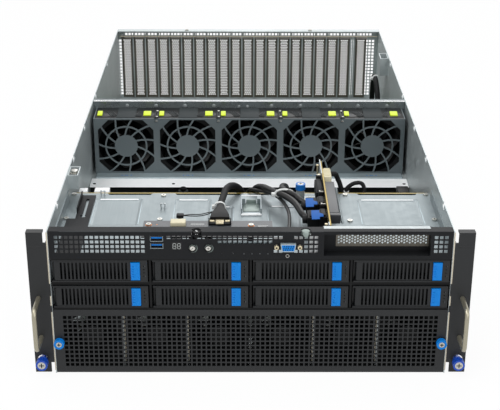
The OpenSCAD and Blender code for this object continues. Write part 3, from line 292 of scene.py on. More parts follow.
@dataclass(frozen=True)
class PaintedFront(SheetSteel):
    """Zinc-coated sheet whose front edges are sprayed black up to the deck's top, as far as one sees in.

    Args:
        paint: the spray's colour.
        depth: how far behind the front face it reaches, in millimetres.
        top: height up to which it reaches, in millimetres.
    """

    paint: str = "#0C0D0E"
    depth: float = 9.0
    top: float = 143.2

    def shade_tree(self, tree: Tree, where: Socket) -> Node:
        """Builds the bare sheet and the sprayed front edges.

        Args:
            tree: the material's node tree.
            where: the coordinates that the pattern reads.

        Returns:
            The shader node.
        """
        bare = super().shade_tree(tree, where)
        coat = add_node(tree, "BsdfPrincipled", {"Base Color": hex_linear(self.paint), "Roughness": 0.5,
                                                 "Specular IOR Level": 0.2})
        parts = add_node(tree, "SeparateXYZ", {0: where})
        near = add_node(tree, "Math", {0: parts.outputs["Y"], 1: FRONT_Y + self.depth * MM},
                        operation="LESS_THAN")
        low = add_node(tree, "Math", {0: parts.outputs["Z"], 1: self.top * MM}, operation="LESS_THAN")
        both = add_node(tree, "Math", {0: near.outputs[0], 1: low.outputs[0]}, operation="MULTIPLY")
        return add_node(tree, "MixShader", {0: both.outputs[0], 1: bare.outputs[0], 2: coat.outputs[0]})


@dataclass(frozen=True)
class BoardMask(Finish):
    """Circuit board: solder mask on its faces with copper runs, and a sawn laminate edge.

    Args:
        edge: colour of the sawn edge.
        face_axis: the axis that the board's faces look along.
        run_height: height of the copper runs in millimetres.
    """

    roughness: float = 0.35
    grain: float = 3.0
    relief: float = 0.2
    edge: str = "#A88F4A"
    face_axis: str = "Z"
    run_height: float = 0.05

    def shade_tree(self, tree: Tree, where: Socket) -> Node:
        """Builds the mask, its runs, and the pale edge where the face turns.

        Args:
            tree: the material's node tree.
            where: the coordinates that the pattern reads.

        Returns:
            The shader node.
        """
        cells = add_node(tree, "TexVoronoi", {"Vector": where, "Scale": per_mm(self.grain)},
                         distance="MANHATTAN")
        runs = add_node(tree, "MapRange",
                        {"Value": cells.outputs["Distance"], "From Min": 0.35, "From Max": 0.5})
        mask = self.two_tone(tree, runs.outputs[0])
        facing = add_node(tree, "NewGeometry")
        parts = add_node(tree, "SeparateXYZ", {0: facing.outputs["Normal"]})
        turned = add_node(tree, "Math", {0: parts.outputs[self.face_axis]}, operation="ABSOLUTE")
        is_edge = add_node(tree, "Math", {0: turned.outputs[0], 1: 0.5}, operation="LESS_THAN")
        colour = add_node(tree, "Mix", {0: is_edge.outputs[0], 6: mask, 7: hex_linear(self.edge)},
                          data_type="RGBA")
        bump = add_node(tree, "Bump", {"Height": runs.outputs[0], "Strength": self.relief,
                                       "Distance": self.run_height * MM})
        return add_node(tree, "BsdfPrincipled", {"Base Color": colour.outputs[2],
                                                 "Roughness": self.roughness, "Normal": bump.outputs[0]})


@dataclass(frozen=True)
class Moulded(Finish):
    """Thermoplastic from a steel mould, whose etched face it copies in a grain half a millimetre across."""

    roughness: float = 0.4
    spread: float = 0.05
    grain: float = 0.5
    relief: float = 0.08


@dataclass(frozen=True)
class PowderCoat(Finish):
    """Powder paint, sprayed dry and baked: it flows out to an orange-peel skin just under 1 mm across."""

    spread: float = 0.06
    grain: float = 0.9
    relief: float = 0.2


@dataclass(frozen=True)
class TwoKnobs(Moulded):
    """Moulded knobs: royal blue on the rack screws, azure on the riser's screw higher up.

    Args:
        upper: colour of the knobs above the split.
        split: height in millimetres that parts the two.
    """

    upper: str = "#0A6CBC"
    split: float = 60.0

    def shade_tree(self, tree: Tree, where: Socket) -> Node:
        """Builds the plain moulded shader and gives the higher knob its own colour.

        Args:
            tree: the material's node tree.
            where: the coordinates that the pattern reads.

        Returns:
            The shader node.
        """
        shader = super().shade_tree(tree, where)
        own = shader.inputs["Base Color"].links[0].from_socket
        parts = add_node(tree, "SeparateXYZ", {0: where})
        high = add_node(tree, "Math", {0: parts.outputs["Z"], 1: self.split * MM}, operation="GREATER_THAN")
        colour = add_node(tree, "Mix", {0: high.outputs[0], 6: own, 7: hex_linear(self.upper)},
                          data_type="RGBA")
        tree.links.new(colour.outputs[2], shader.inputs["Base Color"])
        return shader


class Shop:
    """The finishes of the server, each named for what it is and how its face was made, or for the light or
    shade painted into it.
    """

    # Galvanised sheet as it comes from the rolls: pale, even zinc with a soft sheen.
    wall_sheet = SheetSteel("galvanised_wall_sheet", "#AEB6B7", "#C2C9CA", spread=0.09)
    # The same sheet pressed into the deck, its front edges sprayed: a darker blue-grey.
    deck_sheet = PaintedFront("galvanised_deck_sheet", "#848D90", "#929B9E")
    # Small brackets, barrel plated with zinc: brighter, with finer crystals.
    bright_sheet = SheetSteel("zinc_plated_bracket", "#9FA6A8", "#B2B7B8", roughness=0.36, spangle=5.0)
    # Zinc in a dull, greenish grey: painted shade where it lies in the shade of a bracket, and a painted
    # highlight on the buttons' lower lips.
    tongue_sheet = SheetSteel("shaded_zinc_tongue", "#7E8A86", "#8D9894", metallic=0.5, roughness=0.4,
                              spread=0.06, relief=0.03)
    # Zinc strip, slit and folded: a cool, clean grey; along the deck panels' sides and behind the lower vents
    # it is painted light.
    strip_sheet = SheetSteel("zinc_strip_under_fans", "#9AA9AE", "#ADB9BD", metallic=0.5, roughness=0.34,
                             spread=0.06, relief=0.03)
    # Zinc painted nearly white as a painted highlight: it stands for the lamps' glare that zinc mirrors where
    # it lies flat and faces up.
    glare_painted_zinc = SheetSteel("zinc_with_painted_glare", "#F8FAFA", "#FFFFFF", metallic=0.0, roughness=0.34,
                             spread=0.06, relief=0.03)
    # Sheet rolled bright and left bare: smooth, so that the lime tabs mirror in it as soft spots.
    cross_sheet = SheetSteel("polished_cross_panel", "#9AA3A5", "#9EA6A8", metallic=0.85, roughness=0.27,
                             spread=0.02, relief=0.0)
    # Zinc slot covers, stamped: a bronze grey, darkened further as painted shade where they stand against the
    # light at the rear.
    cover_sheet = SheetSteel("bronze_zinc_cover_painted_shade", "#5A564E", "#6E6A61", metallic=0.5, roughness=0.4,
                             spangle=5.0)
    # Powder coat, sprayed dry and baked: near-black with a fine orange-peel skin that scatters the light.
    black_coat = PowderCoat("black_powder_coat", "#131517", "#191B1D", relief=0.22, gloss=0.42)
    # The satin grade of that coat: a shade lighter, with almost no highlight.
    panel_coat = PowderCoat("satin_black_panel_coat", "#18191B", "#1C1D1F", gloss=0.14)
    # Slate powder coat with a little metal flake: blue-grey, dull silver where it turns to the lamps.
    fan_coat = PowderCoat("slate_powder_coat", "#5A6366", "#656E71", metallic=0.1, roughness=0.48,
                          relief=0.18)
    # The slate coat in a matt grade: darker and without highlights.
    bridge_coat = PowderCoat("matt_slate_coat", "#2C3133", "#333839", roughness=0.6, relief=0.18, gloss=0.15)
    # Glass-filled nylon straight from a spark-eroded mould: black, dull, faintly pebbled.
    black_nylon = Moulded("moulded_black_nylon", "#08090A", "#0D0E0F", roughness=0.5, spread=0.08, grain=0.6,
                          relief=0.2, gloss=0.18)
    # The same nylon with grey pigment: it shows its edges where the black doesn't; along the panel's bend it
    # is a painted highlight.
    grey_nylon = Moulded("moulded_grey_nylon", "#2B2F31", "#34383A", roughness=0.45, spread=0.06, grain=0.6,
                         relief=0.15, gloss=0.35)
    # Nylon from a polished mould: the deepest black, with a faint gloss along the blades.
    rotor_nylon = Moulded("moulded_rotor_nylon", "#060708", "#0B0C0D", spread=0.06, relief=0.1, gloss=0.3)
    # ABS from a finely etched mould: near-black with a soft, even sheen.
    carrier_abs = Moulded("moulded_black_abs", "#131517", "#1A1C1E", roughness=0.42, spread=0.07, relief=0.15,
                          gloss=0.36)
    # ABS coloured right through, from a smooth mould: a clear, strong blue.
    azure_abs = Moulded("moulded_azure_abs", "#0474C6", "#057BD0", gloss=0.2)
    # The same ABS in a deeper blue: painted shade on a side that looks away from the lamps.
    azure_painted_shade = Moulded("moulded_azure_abs_painted_shade", "#0F5DAA", "#1268BC")
    # ABS knobs with a fluted rim, moulded glossy: saturated, with a small highlight.
    knob_abs = TwoKnobs("moulded_knob_abs", "#063CA0", "#0848B0", roughness=0.34)
    # Lime ABS for what the hand pulls, moulded matt: pale and strong.
    lime_abs = Moulded("moulded_lime_abs", "#D9EC30", "#CCE228", roughness=0.45)
    # Glass-filled polyester, moulded thin: a dense, plain blue.
    socket_blue = Moulded("moulded_socket_blue", "#045FAA", "#0568B6", relief=0.05, gloss=0.2)
    # Woven polyester ribbon: matt, its threads drawn 0.8 mm apart, as coarse as they need to show.
    ribbon_blue = Finish("woven_blue_ribbon", "#2459A2", "#2C63AE", roughness=0.6, spread=0.05, grain=0.8,
                         relief=0.3, gloss=0.2)
    # Heat-proof polymer moulded with a satin face: dark grey, and the edges shine a little.
    socket_satin = Moulded("satin_socket_nylon", "#303235", "#383A3D", roughness=0.36)
    # Extruded PVC: black and smooth, with one long, soft highlight.
    jacket = Finish("black_pvc_jacket", "#0A0A0B", "#101112", roughness=0.34, spread=0.06, grain=2.0,
                    relief=0.15, gloss=0.3)
    # Cast acrylic, smoked: nearly black and polished.
    smoked_glass = Finish("smoked_acrylic", "#0A0B0C", "#101112", roughness=0.12, spread=0.03, grain=2.0,
                          relief=0.02)
    # The diffuser of a lit segment: an even, pale grey.
    segment_white = Moulded("white_display_segment", "#A9ACAA", "#9DA09E", roughness=0.3, spread=0.03,
                            relief=0.02)
    # An acrylic light pipe, sawn and frosted at its end, with its lamp off: a dim grey.
    clear_acrylic = Moulded("frosted_light_pipe", "#3A3D3F", "#45484A", roughness=0.25, spread=0.04,
                            relief=0.05)
    # Bare copper pad with a thin tin wash: warm, bright metal.
    copper = Finish("tinned_copper_pad", "#C2703A", "#D08548", metallic=1.0, roughness=0.32, spread=0.06,
                    grain=0.8, relief=0.05)
    # The sheared edge of zinc-coated sheet: bare steel with a straw tint, torn along its length.
    cut_edge = Finish("sheared_steel_edge", "#B5AC9A", "#CFC7B4", metallic=0.4, roughness=0.45, relief=0.2)
    # Spring contact with a flash of gold: warm and pale.
    cream_metal = Finish("gold_flashed_contact", "#D8CDB0", "#C8BB98", metallic=0.6, roughness=0.3,
                         spread=0.06, grain=0.5, relief=0.05)
    # Nylon moulded without pigment: cream, slightly waxy.
    cream_nylon = Moulded("moulded_cream_nylon", "#CFC6A6", "#DAD2B5", roughness=0.45, relief=0.1)
    # Nylon tie, moulded thin: a greyish, half-clear white.
    white_nylon = Moulded("white_nylon_tie", "#DCDDDB", "#CFD1CF", relief=0.1)
    # Nickel over a turned and polished face: a bright mirror.
    chrome = Finish("bright_nickel_bar", "#D9D8D2", "#CFCEC8", metallic=1.0, roughness=0.14, spread=0.04,
                    grain=1.5, relief=0.03)
    # Nickel over a bent, belt-ground bar: the grinding blurs and warms what it mirrors.
    satin_bar = Finish("satin_nickel_bar", "#A8A391", "#97917F", metallic=0.75, roughness=0.34, spread=0.05,
                       grain=1.5, relief=0.03)
    # Nickel-plated screws, tumbled in a barrel: bright and lightly scuffed.
    nickel = Finish("nickel_plated_screw", "#C6C5BF", "#B2B1AB", metallic=1.0, roughness=0.28, grain=0.5)
    # Extruded aluminium, left bare: pale grey with a soft sheen.
    aluminium = Finish("extruded_aluminium", "#B9BCBE", "#A6A9AB", metallic=1.0, roughness=0.35, grain=0.8)
    # Nickel-plated steel case, folded: a neutral grey with a clearer mirror than zinc.
    psu_sheet = SheetSteel("nickel_psu_case", "#8B9092", "#9FA4A6", metallic=0.9, roughness=0.36)
    # Plaited black filament: a coarse weave that breaks up the light.
    sleeve = Finish("braided_black_sleeve", "#0A0A0B", "#161718", roughness=0.6, grain=1.2, relief=0.6,
                    gloss=0.2)
    # Solder mask screened over copper runs and cured: a glossy, dark green.
    main_mask = BoardMask("green_solder_mask", "#0E3320", "#14482C")
    # The same mask in grey, with a blackened edge.
    port_mask = BoardMask("grey_solder_mask", "#3A3D40", "#43464A", edge="#2A2B2C")
    # Matt black mask on a card that stands on edge: its sawn laminate shows as a pale, golden line.
    riser_mask = BoardMask("riser_solder_mask", "#111314", "#1C1F20", roughness=0.6, edge="#C2AA62",
                           face_axis="X")
    # Dark green mask on the upright backplane, whose sawn top edge is a dull gold.
    olive_mask = BoardMask("olive_solder_mask", "#10160F", "#1C2418", edge="#B09A4E", face_axis="Y")


NODE_FINISHES: Dict[str, Finish] = {
    "chassis_shell": Shop.wall_sheet,
    "rear_panel": Shop.wall_sheet,
    "slot_covers": Shop.cover_sheet,
    "gpu_board": Shop.main_mask,
    "mainboard": Shop.main_mask,
    "power_supplies": Shop.psu_sheet,
    "fan_wall": Shop.fan_coat,
    "fan_housings": Shop.black_nylon,
    "front_fan_housings": Shop.black_nylon,
    "cpu_heatsinks": Shop.aluminium,
    "drive_cage": Shop.deck_sheet,
    "drive_backplane": Shop.olive_mask,
    "front_panel": Shop.panel_coat,
    "io_board": Shop.port_mask,
    "riser_board": Shop.riser_mask,
    "riser_bracket": Shop.bright_sheet,
    "rack_ears": Shop.black_coat,
    "ear_handles": Shop.satin_bar,
    "captive_thumbscrews": Shop.knob_abs,
    "grille_panel": Shop.black_coat,
    "grille_thumbscrews": Shop.azure_abs,
    "cables": Shop.sleeve,
    "screws": Shop.nickel,
    "power_button": Shop.nickel,
    "id_button": Shop.nickel,
    "fan_rotor": Shop.rotor_nylon,
    "front_fan_rotor": Shop.rotor_nylon,
    "drive_tray": Shop.carrier_abs,
    "tray_lever": Shop.carrier_abs,
    "release_tab": Shop.azure_abs,
}


def dress_nodes() -> None:
    """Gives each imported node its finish; numbered copies of one sub-part share theirs."""
    for name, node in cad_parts.items():
        key = name.rstrip("0123456789").rstrip("_") if name not in NODE_FINISHES else name
        material = NODE_FINISHES[key].material()
        if not node.material_slots:
            node.data.materials.append(material)
        for slot in node.material_slots:
            slot.link = "OBJECT"
            slot.material = material
        LOG.info("dressed %s in %s", name, material.name)


# ---------------------------------------------------------------- stock shapes


class Axis(Enum):
    """The direction that a rod grows along."""

    X = "X"
    Y = "Y"
    Z = "Z"


class Slot(Enum):
    """The record's material slots, passed with each new piece but not read."""

    AZURE_PLASTIC = "azure_plastic"
    BLACK_BOARD = "black_board"
    BLACK_PAINT = "black_paint"
    BLACK_PLASTIC = "black_plastic"
    BUTTON_METAL = "button_metal"
    CABLE_BLACK = "cable_black"
    DECK_STEEL = "deck_steel"
    FAN_WALL_GREY = "fan_wall_grey"
    GALVANISED_STEEL = "galvanised_steel"
    NICKEL_SCREW = "nickel_screw"
    RISER_BOARD = "riser_board"
    ROTOR_PLASTIC = "rotor_plastic"
    ROYAL_BLUE_KNOB = "royal_blue_knob"
    SLOT_COVER_STEEL = "slot_cover_steel"
    TRAY_PLASTIC = "tray_plastic"


TURNS = {
    Axis.X: Matrix.Rotation(math.radians(90), 4, "Y"),
    Axis.Y: Matrix.Rotation(math.radians(-90), 4, "X"),
    Axis.Z: Matrix.Identity(4),
}


class Stock:
    """The raw shapes of one piece, joined as they are made, in millimetres of the drawing."""

    def __init__(self) -> None:
        """Starts an empty piece."""
        self.build = bmesh.new()

    def soften(self, verts: Sequence[bmesh.types.BMVert], width: float, steps: int = 2) -> None:
        """Bevels the sharp edges round some vertices.

        Args:
            verts: the vertices whose edges are bevelled.
            width: the bevel's width in millimetres, or 0 for none.
            steps: its segments.
        """
        if width <= 0:
            return
        edges = dict.fromkeys(e for v in verts for e in v.link_edges
                              if e.is_manifold and e.calc_face_angle(0.0) > FOLD)
        bmesh.ops.bevel(self.build, geom=list(edges), offset=width, offset_type="OFFSET", affect="EDGES",
                        segments=steps, profile=0.5, material=-1, clamp_overlap=True)

    def block(self, low: Point, high: Point, edge: float = 0.3, steps: int = 2,
              turn: Optional[Matrix] = None) -> "Stock":
        """Adds a block between two corners, with softened edges.

        Args:
            low: its lowest corner.
            high: its highest corner.
            edge: the width of the softened edges.
            steps: the segments of an edge.
            turn: a turn about the block's own middle.

        Returns:
            The piece, for the next shape.
        """
        middle = (Vector(low) + Vector(high)) / 2
        size = Vector(high) - Vector(low)
        matrix = Matrix.Translation(middle) @ (turn or Matrix.Identity(4)) @ Matrix.Diagonal((*size, 1.0))
        made = bmesh.ops.create_cube(self.build, size=1.0, matrix=matrix)["verts"]
        self.soften(made, edge, steps)
        return self

    def rod(self, at: Point, radius: float, length: float, axis: Axis = Axis.Y, edge: float = 0.2,
            sides: int = 32) -> "Stock":
        """Adds a round rod that grows from a point.

        Args:
            at: the middle of its first end.
            radius: its radius.
            length: its length.
            axis: the direction that it grows along.
            edge: the width of its softened edges.
            sides: how many sides it is drawn with.

        Returns:
            The piece, for the next shape.
        """
        matrix = Matrix.Translation(at) @ TURNS[axis] @ Matrix.Translation((0, 0, length / 2))
        made = bmesh.ops.create_cone(self.build, cap_ends=True, segments=sides, radius1=radius,
                                     radius2=radius, depth=length, matrix=matrix)["verts"]
        self.soften(made, edge)
        return self

    def plate(self, outline: Sequence[Point], thickness: Point, edge: float = 0.15,
              steps: int = 2) -> "Stock":
        """Adds a flat plate: an outline drawn in space and given a thickness.

        Args:
            outline: its corners in order.
            thickness: the vector from the outline to the plate's other face.
            edge: the width of its softened edges.
            steps: the segments of an edge.

        Returns:
            The piece, for the next shape.
        """
        corners = [self.build.verts.new(p) for p in outline]
        grown = bmesh.ops.extrude_face_region(self.build, geom=[self.build.faces.new(corners)])["geom"]
        raised = [g for g in grown if isinstance(g, bmesh.types.BMVert)]
        bmesh.ops.translate(self.build, vec=thickness, verts=raised)
        self.soften(corners + raised, edge, steps)
        return self

    def band(self, centre: Point, radius: float, size: Span, axis: Axis = Axis.Y,
             steps: int = 40, wide: float = 1.0) -> "Stock":
        """Adds a closed band with a rectangular section, such as a rim or a tie.

        Args:
            centre: the middle of the band.
            radius: its inner radius.
            size: its thickness outwards and its width along the axis.
            axis: the direction through its hole.
            steps: how many steps it is turned in.
            wide: how much wider than tall its loop is.

        Returns:
            The piece, for the next shape.
        """
        thick, width = size
        before = set(self.build.verts)
        section = [(radius, 0, -width / 2), (radius + thick, 0, -width / 2),
                   (radius + thick, 0, width / 2), (radius, 0, width / 2)]
        corners = [self.build.verts.new(p) for p in section]
        rim = [self.build.edges.new((corners[k], corners[(k + 1) % 4])) for k in range(4)]
        bmesh.ops.spin(self.build, geom=corners + rim, cent=(0, 0, 0), axis=(0, 0, 1), angle=math.tau,
                       steps=steps, use_merge=True)
        made = [v for v in self.build.verts if v not in before]
        matrix = Matrix.Translation(centre) @ TURNS[axis] @ Matrix.Diagonal((wide, 1.0, 1.0, 1.0))
        bmesh.ops.transform(self.build, matrix=matrix, verts=made)
        return self

    def loft(self, rings: Sequence[Tuple[Point, float, float, float]], sides: int = 24) -> "Stock":
        """Adds a body whose section changes along Y, from box-like to round.

        Args:
            rings: for each section its middle, half width, half height and squareness from 0 to 1.
            sides: how many points a section has.

        Returns:
            The piece, for the next shape.
        """
        loops = []
        for (x, y, z), wide, high, square in rings:
            ring = bmesh.ops.create_circle(self.build, segments=sides, radius=1.0)["verts"]
            for vert in ring:
                reach = 1 + square * (1 / max(abs(vert.co.x), abs(vert.co.y)) - 1)
                vert.co = Vector((x + vert.co.x * reach * wide, y, z + vert.co.y * reach * high))
            loops.append(ring)
        for near, far in zip(loops, loops[1:]):
            edges = dict.fromkeys(e for ring in (near, far) for v in ring for e in v.link_edges
                                  if e.other_vert(v) in ring)
            bmesh.ops.bridge_loops(self.build, edges=list(edges))
        self.build.faces.new(loops[0])
        self.build.faces.new(loops[-1])
        return self

    def row(self, step: Point, count: int) -> "Stock":
        """Repeats everything made so far in a row.

        Args:
            step: the way from one copy to the next.
            count: how many there are in all.

        Returns:
            The piece, for the next shape.
        """
        first = list(self.build.verts) + list(self.build.edges) + list(self.build.faces)
        for k in range(1, count):
            copy = bmesh.ops.duplicate(self.build, geom=first)["geom"]
            moved = [g for g in copy if isinstance(g, bmesh.types.BMVert)]
            bmesh.ops.translate(self.build, vec=Vector(step) * k, verts=moved)
        return self

    def mirrored(self) -> "Stock":
        """Adds the same shapes on the other side of the server's middle.

        Returns:
            The piece, for the next shape.
        """
        whole = list(self.build.verts) + list(self.build.edges) + list(self.build.faces)
        copy = bmesh.ops.duplicate(self.build, geom=whole)["geom"]
        other = [g for g in copy if isinstance(g, bmesh.types.BMVert)]
        bmesh.ops.scale(self.build, vec=(-1, 1, 1), verts=other)
        return self

    def done(self, name: str, finish: Finish, slot: Slot, body: str = CHASSIS) -> bpy.types.Object:
        """Turns the piece into an object that rides on its body.

        Args:
            name: the piece's name.
            finish: its surface.
            slot: the record's material slot for it; not used.
            body: the CAD body that carries it.

        Returns:
            The new object.
        """
        bmesh.ops.remove_doubles(self.build, verts=self.build.verts, dist=SAME)
        bmesh.ops.recalc_face_normals(self.build, faces=self.build.faces)
        into = Matrix.Translation((0, FRONT_Y, 0)) @ Matrix.Scale(MM, 4)
        bmesh.ops.transform(self.build, matrix=into, verts=self.build.verts)
        mesh = bpy.data.meshes.new(name)
        self.build.to_mesh(mesh)
        self.build.free()
        mesh.shade_smooth()
        mesh.set_sharp_from_angle(angle=math.radians(35))
        return mount(name, mesh, finish, body)


def mount(name: str, mesh: bpy.types.Mesh, finish: Finish,
          body: str = CHASSIS) -> bpy.types.Object:
    """Puts a finished mesh in the scene and on the body that carries it.

    Args:
        name: the piece's name.
        mesh: its mesh, in metres of the frame.
        finish: its surface.
        body: the CAD body that carries it.

    Returns:
        The new object.
    """
    mesh.materials.clear()
    mesh.materials.append(finish.material())
    piece = put(name, mesh)
    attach(piece, body)
    LOG.info("made %s: %d faces, on %s", name, len(mesh.polygons), body)
    return piece


def hose(route: Sequence[Point], radius: float, sides: int = 6) -> bpy.types.Mesh:
    """Sweeps a smooth round cable through the points of a route.

    Args:
        route: the points, in millimetres of the drawing.
        radius: the cable's radius in millimetres.
        sides: how finely its round section is drawn, as a curve's bevel resolution.

    Returns:
        The cable's mesh in metres of the frame.
    """
    curve = bpy.data.curves.new("route", "CURVE")
    curve.dimensions = "3D"
    curve.bevel_depth = radius * MM
    curve.bevel_resolution = sides
    curve.use_fill_caps = True
    curve.resolution_u = 10
    spline = curve.splines.new("BEZIER")
    spline.bezier_points.add(len(route) - 1)
    for knot, point in zip(spline.bezier_points, route):
        knot.co = place(*point)
        knot.handle_left_type = "AUTO"
        knot.handle_right_type = "AUTO"
    holder = bpy.data.objects.new("route", curve)
    mesh = bpy.data.meshes.new_from_object(holder)
    bpy.data.objects.remove(holder)
    bpy.data.curves.remove(curve)
    mesh.shade_smooth()
    mesh.set_sharp_from_angle(angle=math.radians(50))
    return mesh


# ---------------------------------------------------------------- sub-assemblies


@dataclass
class FanWall:
    """The wall of five large fans: lime latches, grey bridges and clips on top, and the sheets round it.

    Args:
        pitch: distance between two fans.
        count: how many fans there are.
        front: distance of the fans from the front face.
        top: height of the fans' tops.
        depth: depth of a fan.
        axle: height of the axles.
        latch_y: where a latch begins and ends.
        latch_rise: how far a latch stands up.
        latch_spans: the two ends of each latch, from the fan's middle.
        mark_offsets: where the blue marks lie, from the fan's middle.
        sheet_half: half the width of the cross panel.
        rail_top: height of the cross panel's top rail.
        ledge_half: half the width of the ledge.
        ledge_front: where the ledge begins.
        ledge_top: height of the ledge.
        foot: how far the foot strip reaches out before the fans, and half its width.
        plug_xs: where the ledge has its plugged holes.
        pressing_pitch: distance between two round pressings of the cross panel.
    """

    pitch: float = 84.7
    count: int = 5
    front: float = 383.0
    top: float = 166.4
    depth: float = 44.0
    axle: float = 126.4
    latch_y: Span = (393.0, 405.0)
    latch_rise: float = 2.6
    latch_spans: Tuple[Span, ...] = ((-39.2, -32.4), (23.9, 34.4))
    mark_offsets: Tuple[float, ...] = (-6.5, -1.6, 0.8, 6.2)
    sheet_half: float = 217.0
    rail_top: float = 176.0
    ledge_half: float = 216.8
    ledge_front: float = 337.6
    ledge_top: float = 84.2
    foot: Span = (15.0, 211.0)
    plug_xs: Tuple[float, ...] = (-211.5, -103.6, 104.0, 211.5)
    pressing_pitch: float = 40.3

    def middles(self) -> List[float]:
        """Gives the middle of each fan."""
        return [(k - (self.count - 1) / 2) * self.pitch for k in range(self.count)]

    def make(self) -> None:
        """Makes every piece of the fan wall."""
        for number, x in enumerate(self.middles(), 1):
            self.latches(number, x)
            self.hollows(number, x)
            self.far_half(number, x)
        self.clips()
        self.cross_panel()
        self.pressings()
        self.shelf_marks()
        self.ledge()

    def latches(self, number: int, x: float) -> None:
        """Makes the lime pull tabs of one fan.

        Args:
            number: the fan's number.
            x: its middle.
        """
        near, far = self.latch_y
        low = self.top + 0.3
        tilt = Matrix.Rotation(math.radians(9), 4, "X")
        tabs = Stock()
        for left, right in self.latch_spans:
            tabs.block((x + left, near, low), (x + right, far, low + self.latch_rise), 0.7, 3, tilt)
        tabs.done(f"fan_latch_tabs_{number}", Shop.lime_abs, Slot.BLACK_PLASTIC)

    def hollows(self, number: int, x: float) -> None:
        """Makes the dished, ribbed hollows under the tabs, and the plain plate between them.

        Args:
            number: the fan's number.
            x: its middle.
        """
        near, far = self.latch_y
        dishes, ribs = Stock(), Stock()
        for side, reach in ((-1, 30.0), (1, 28.0)):
            dishes.rod((x + side * reach, near + 7.5, self.top - 0.3), 11.5, 0.7, Axis.Z, 0.3, 40)
            skew = Matrix.Rotation(math.radians(-side * 24), 4, "Z")
            for k in range(4):
                middle = x + side * (23.6 - k * 2.7)
                ribs.block((middle - 0.5, near - 4 + k, self.top + 0.2),
                           (middle + 0.5, far + 8 - k, self.top + 1.2), 0.3, 2, skew)
        dishes.done(f"fan_latch_dishes_{number}", Shop.rotor_nylon, Slot.BLACK_PLASTIC)
        ribs.done(f"fan_latch_ribs_{number}", Shop.grey_nylon, Slot.BLACK_PLASTIC)
        plate = Stock().block((x - 12.5, self.front + 2.5, self.top - 0.3),
                              (x + 13.5, self.front + self.depth - 1, self.top + 0.7), 0.5)
        plate.done(f"fan_bridge_{number}", Shop.bridge_coat, Slot.FAN_WALL_GREY)

    def far_half(self, number: int, x: float) -> None:
        """Makes the disc and hub of a fan's far half, which close the view through the blades.

        Args:
            number: the fan's number.
            x: its middle.
        """
        far = self.front + self.depth
        height = self.axle - 0.7
        disc = Stock().rod((x, far - 3.4, height), 37.0, 1.2, Axis.Y, 0.2, 48)
        disc.rod((x, far - 5.4, height), 13.0, 2.4, Axis.Y, 0.6, 32)
        disc.done(f"fan_far_half_{number}", Shop.rotor_nylon, Slot.BLACK_PLASTIC)

    def clips(self) -> None:
        """Makes the thin wire clips that stand between two fans, their bright heads and their bases."""
        x = -self.pitch * (self.count - 2) / 2
        y, z = self.front, self.top
        wires = Stock()
        for side in (-1, 1):
            wire = x + side * 1.5
            wires.block((wire - 0.35, y + 0.6, z + 1.6), (wire + 0.35, y + 27.0, z + 2.4), 0.2)
        wires.block((x - 2.2, y - 0.4, z - 6.0), (x - 1.4, y + 1.4, z + 2.2), 0.2)
        heads = Stock().rod((x, y + 26.0, z - 0.2), 1.7, 3.0, Axis.Z, 0.5, 20)
        heads.rod((x + 0.6, y + 3.0, z - 0.2), 1.5, 2.8, Axis.Z, 0.5, 20)
        heads.block((x - 1.8, y - 0.8, z - 4.2), (x + 1.8, y + 0.6, z - 2.6), 0.4)
        bases = Stock().block((x - 3.3, y + 1.0, z - 0.3), (x + 3.3, y + self.depth - 1, z + 0.9), 0.4)
        for piece in (wires, heads, bases):
            piece.row((self.pitch, 0, 0), self.count - 1)
        wires.done("fan_clip_wires", Shop.grey_nylon, Slot.GALVANISED_STEEL)
        heads.done("fan_clip_heads", Shop.nickel, Slot.GALVANISED_STEEL)
        bases.done("fan_clip_bases", Shop.black_nylon, Slot.BLACK_PLASTIC)

    def cross_panel(self) -> None:
        """Makes the face of the cross panel behind the fans and, on its top rail, a nearly white painted
        highlight.
        """
        y, half, top = self.front + self.depth, self.sheet_half, self.rail_top
        face = Stock().block((-half, y + 0.7, self.top - 1.0), (half, y + 0.95, top - 1.1), 0)
        face.done("cross_panel_face", Shop.cross_sheet, Slot.FAN_WALL_GREY)
        # The rail is painted nearly white as a painted highlight.
        rail = Stock().block((-half, y + 0.8, top - 0.2), (half, y + 6.4, top), 0.08, 1)
        rail.done("cross_panel_rail_highlight", Shop.glare_painted_zinc, Slot.FAN_WALL_GREY)

    def pressings(self) -> None:
        """Makes the round pressings of the cross panel; the fifth is a pair of smaller ones."""
        y = self.front + self.depth + 0.4
        spots = Stock()
        for k in range(10):
            x = -170.4 + k * self.pressing_pitch
            if k == 4:
                spots.rod((x - 5.0, y, 168.6), 2.0, 0.8, Axis.Y, 0.3, 20)
                spots.rod((x + 6.6, y, 168.6), 2.0, 0.8, Axis.Y, 0.3, 20)
            else:
                spots.rod((x, y, 169.6), 2.5, 0.8, Axis.Y, 0.35, 24)
        spots.done("fan_panel_pressings", Shop.bright_sheet, Slot.FAN_WALL_GREY)

    def shelf_marks(self) -> None:
        """Makes the small blue marks on the foot strip under each fan, and the plugs in the ledge's holes."""
        y = self.front - 8.6
        marks = Stock()
        for x in self.middles():
            for offset in self.mark_offsets:
                marks.block((x + offset - 0.9, y, 86.1), (x + offset + 0.9, y + 1.4, 86.35), 0)
        marks.done("fan_position_marks", Shop.azure_abs, Slot.FAN_WALL_GREY)
        plugs = Stock()
        for x in self.plug_xs:
            plugs.rod((x, 349.5, self.ledge_top - 0.2), 2.2, 0.35, Axis.Z, 0, 24)
        plugs.done("ledge_plugs", Shop.black_nylon, Slot.BLACK_PLASTIC)

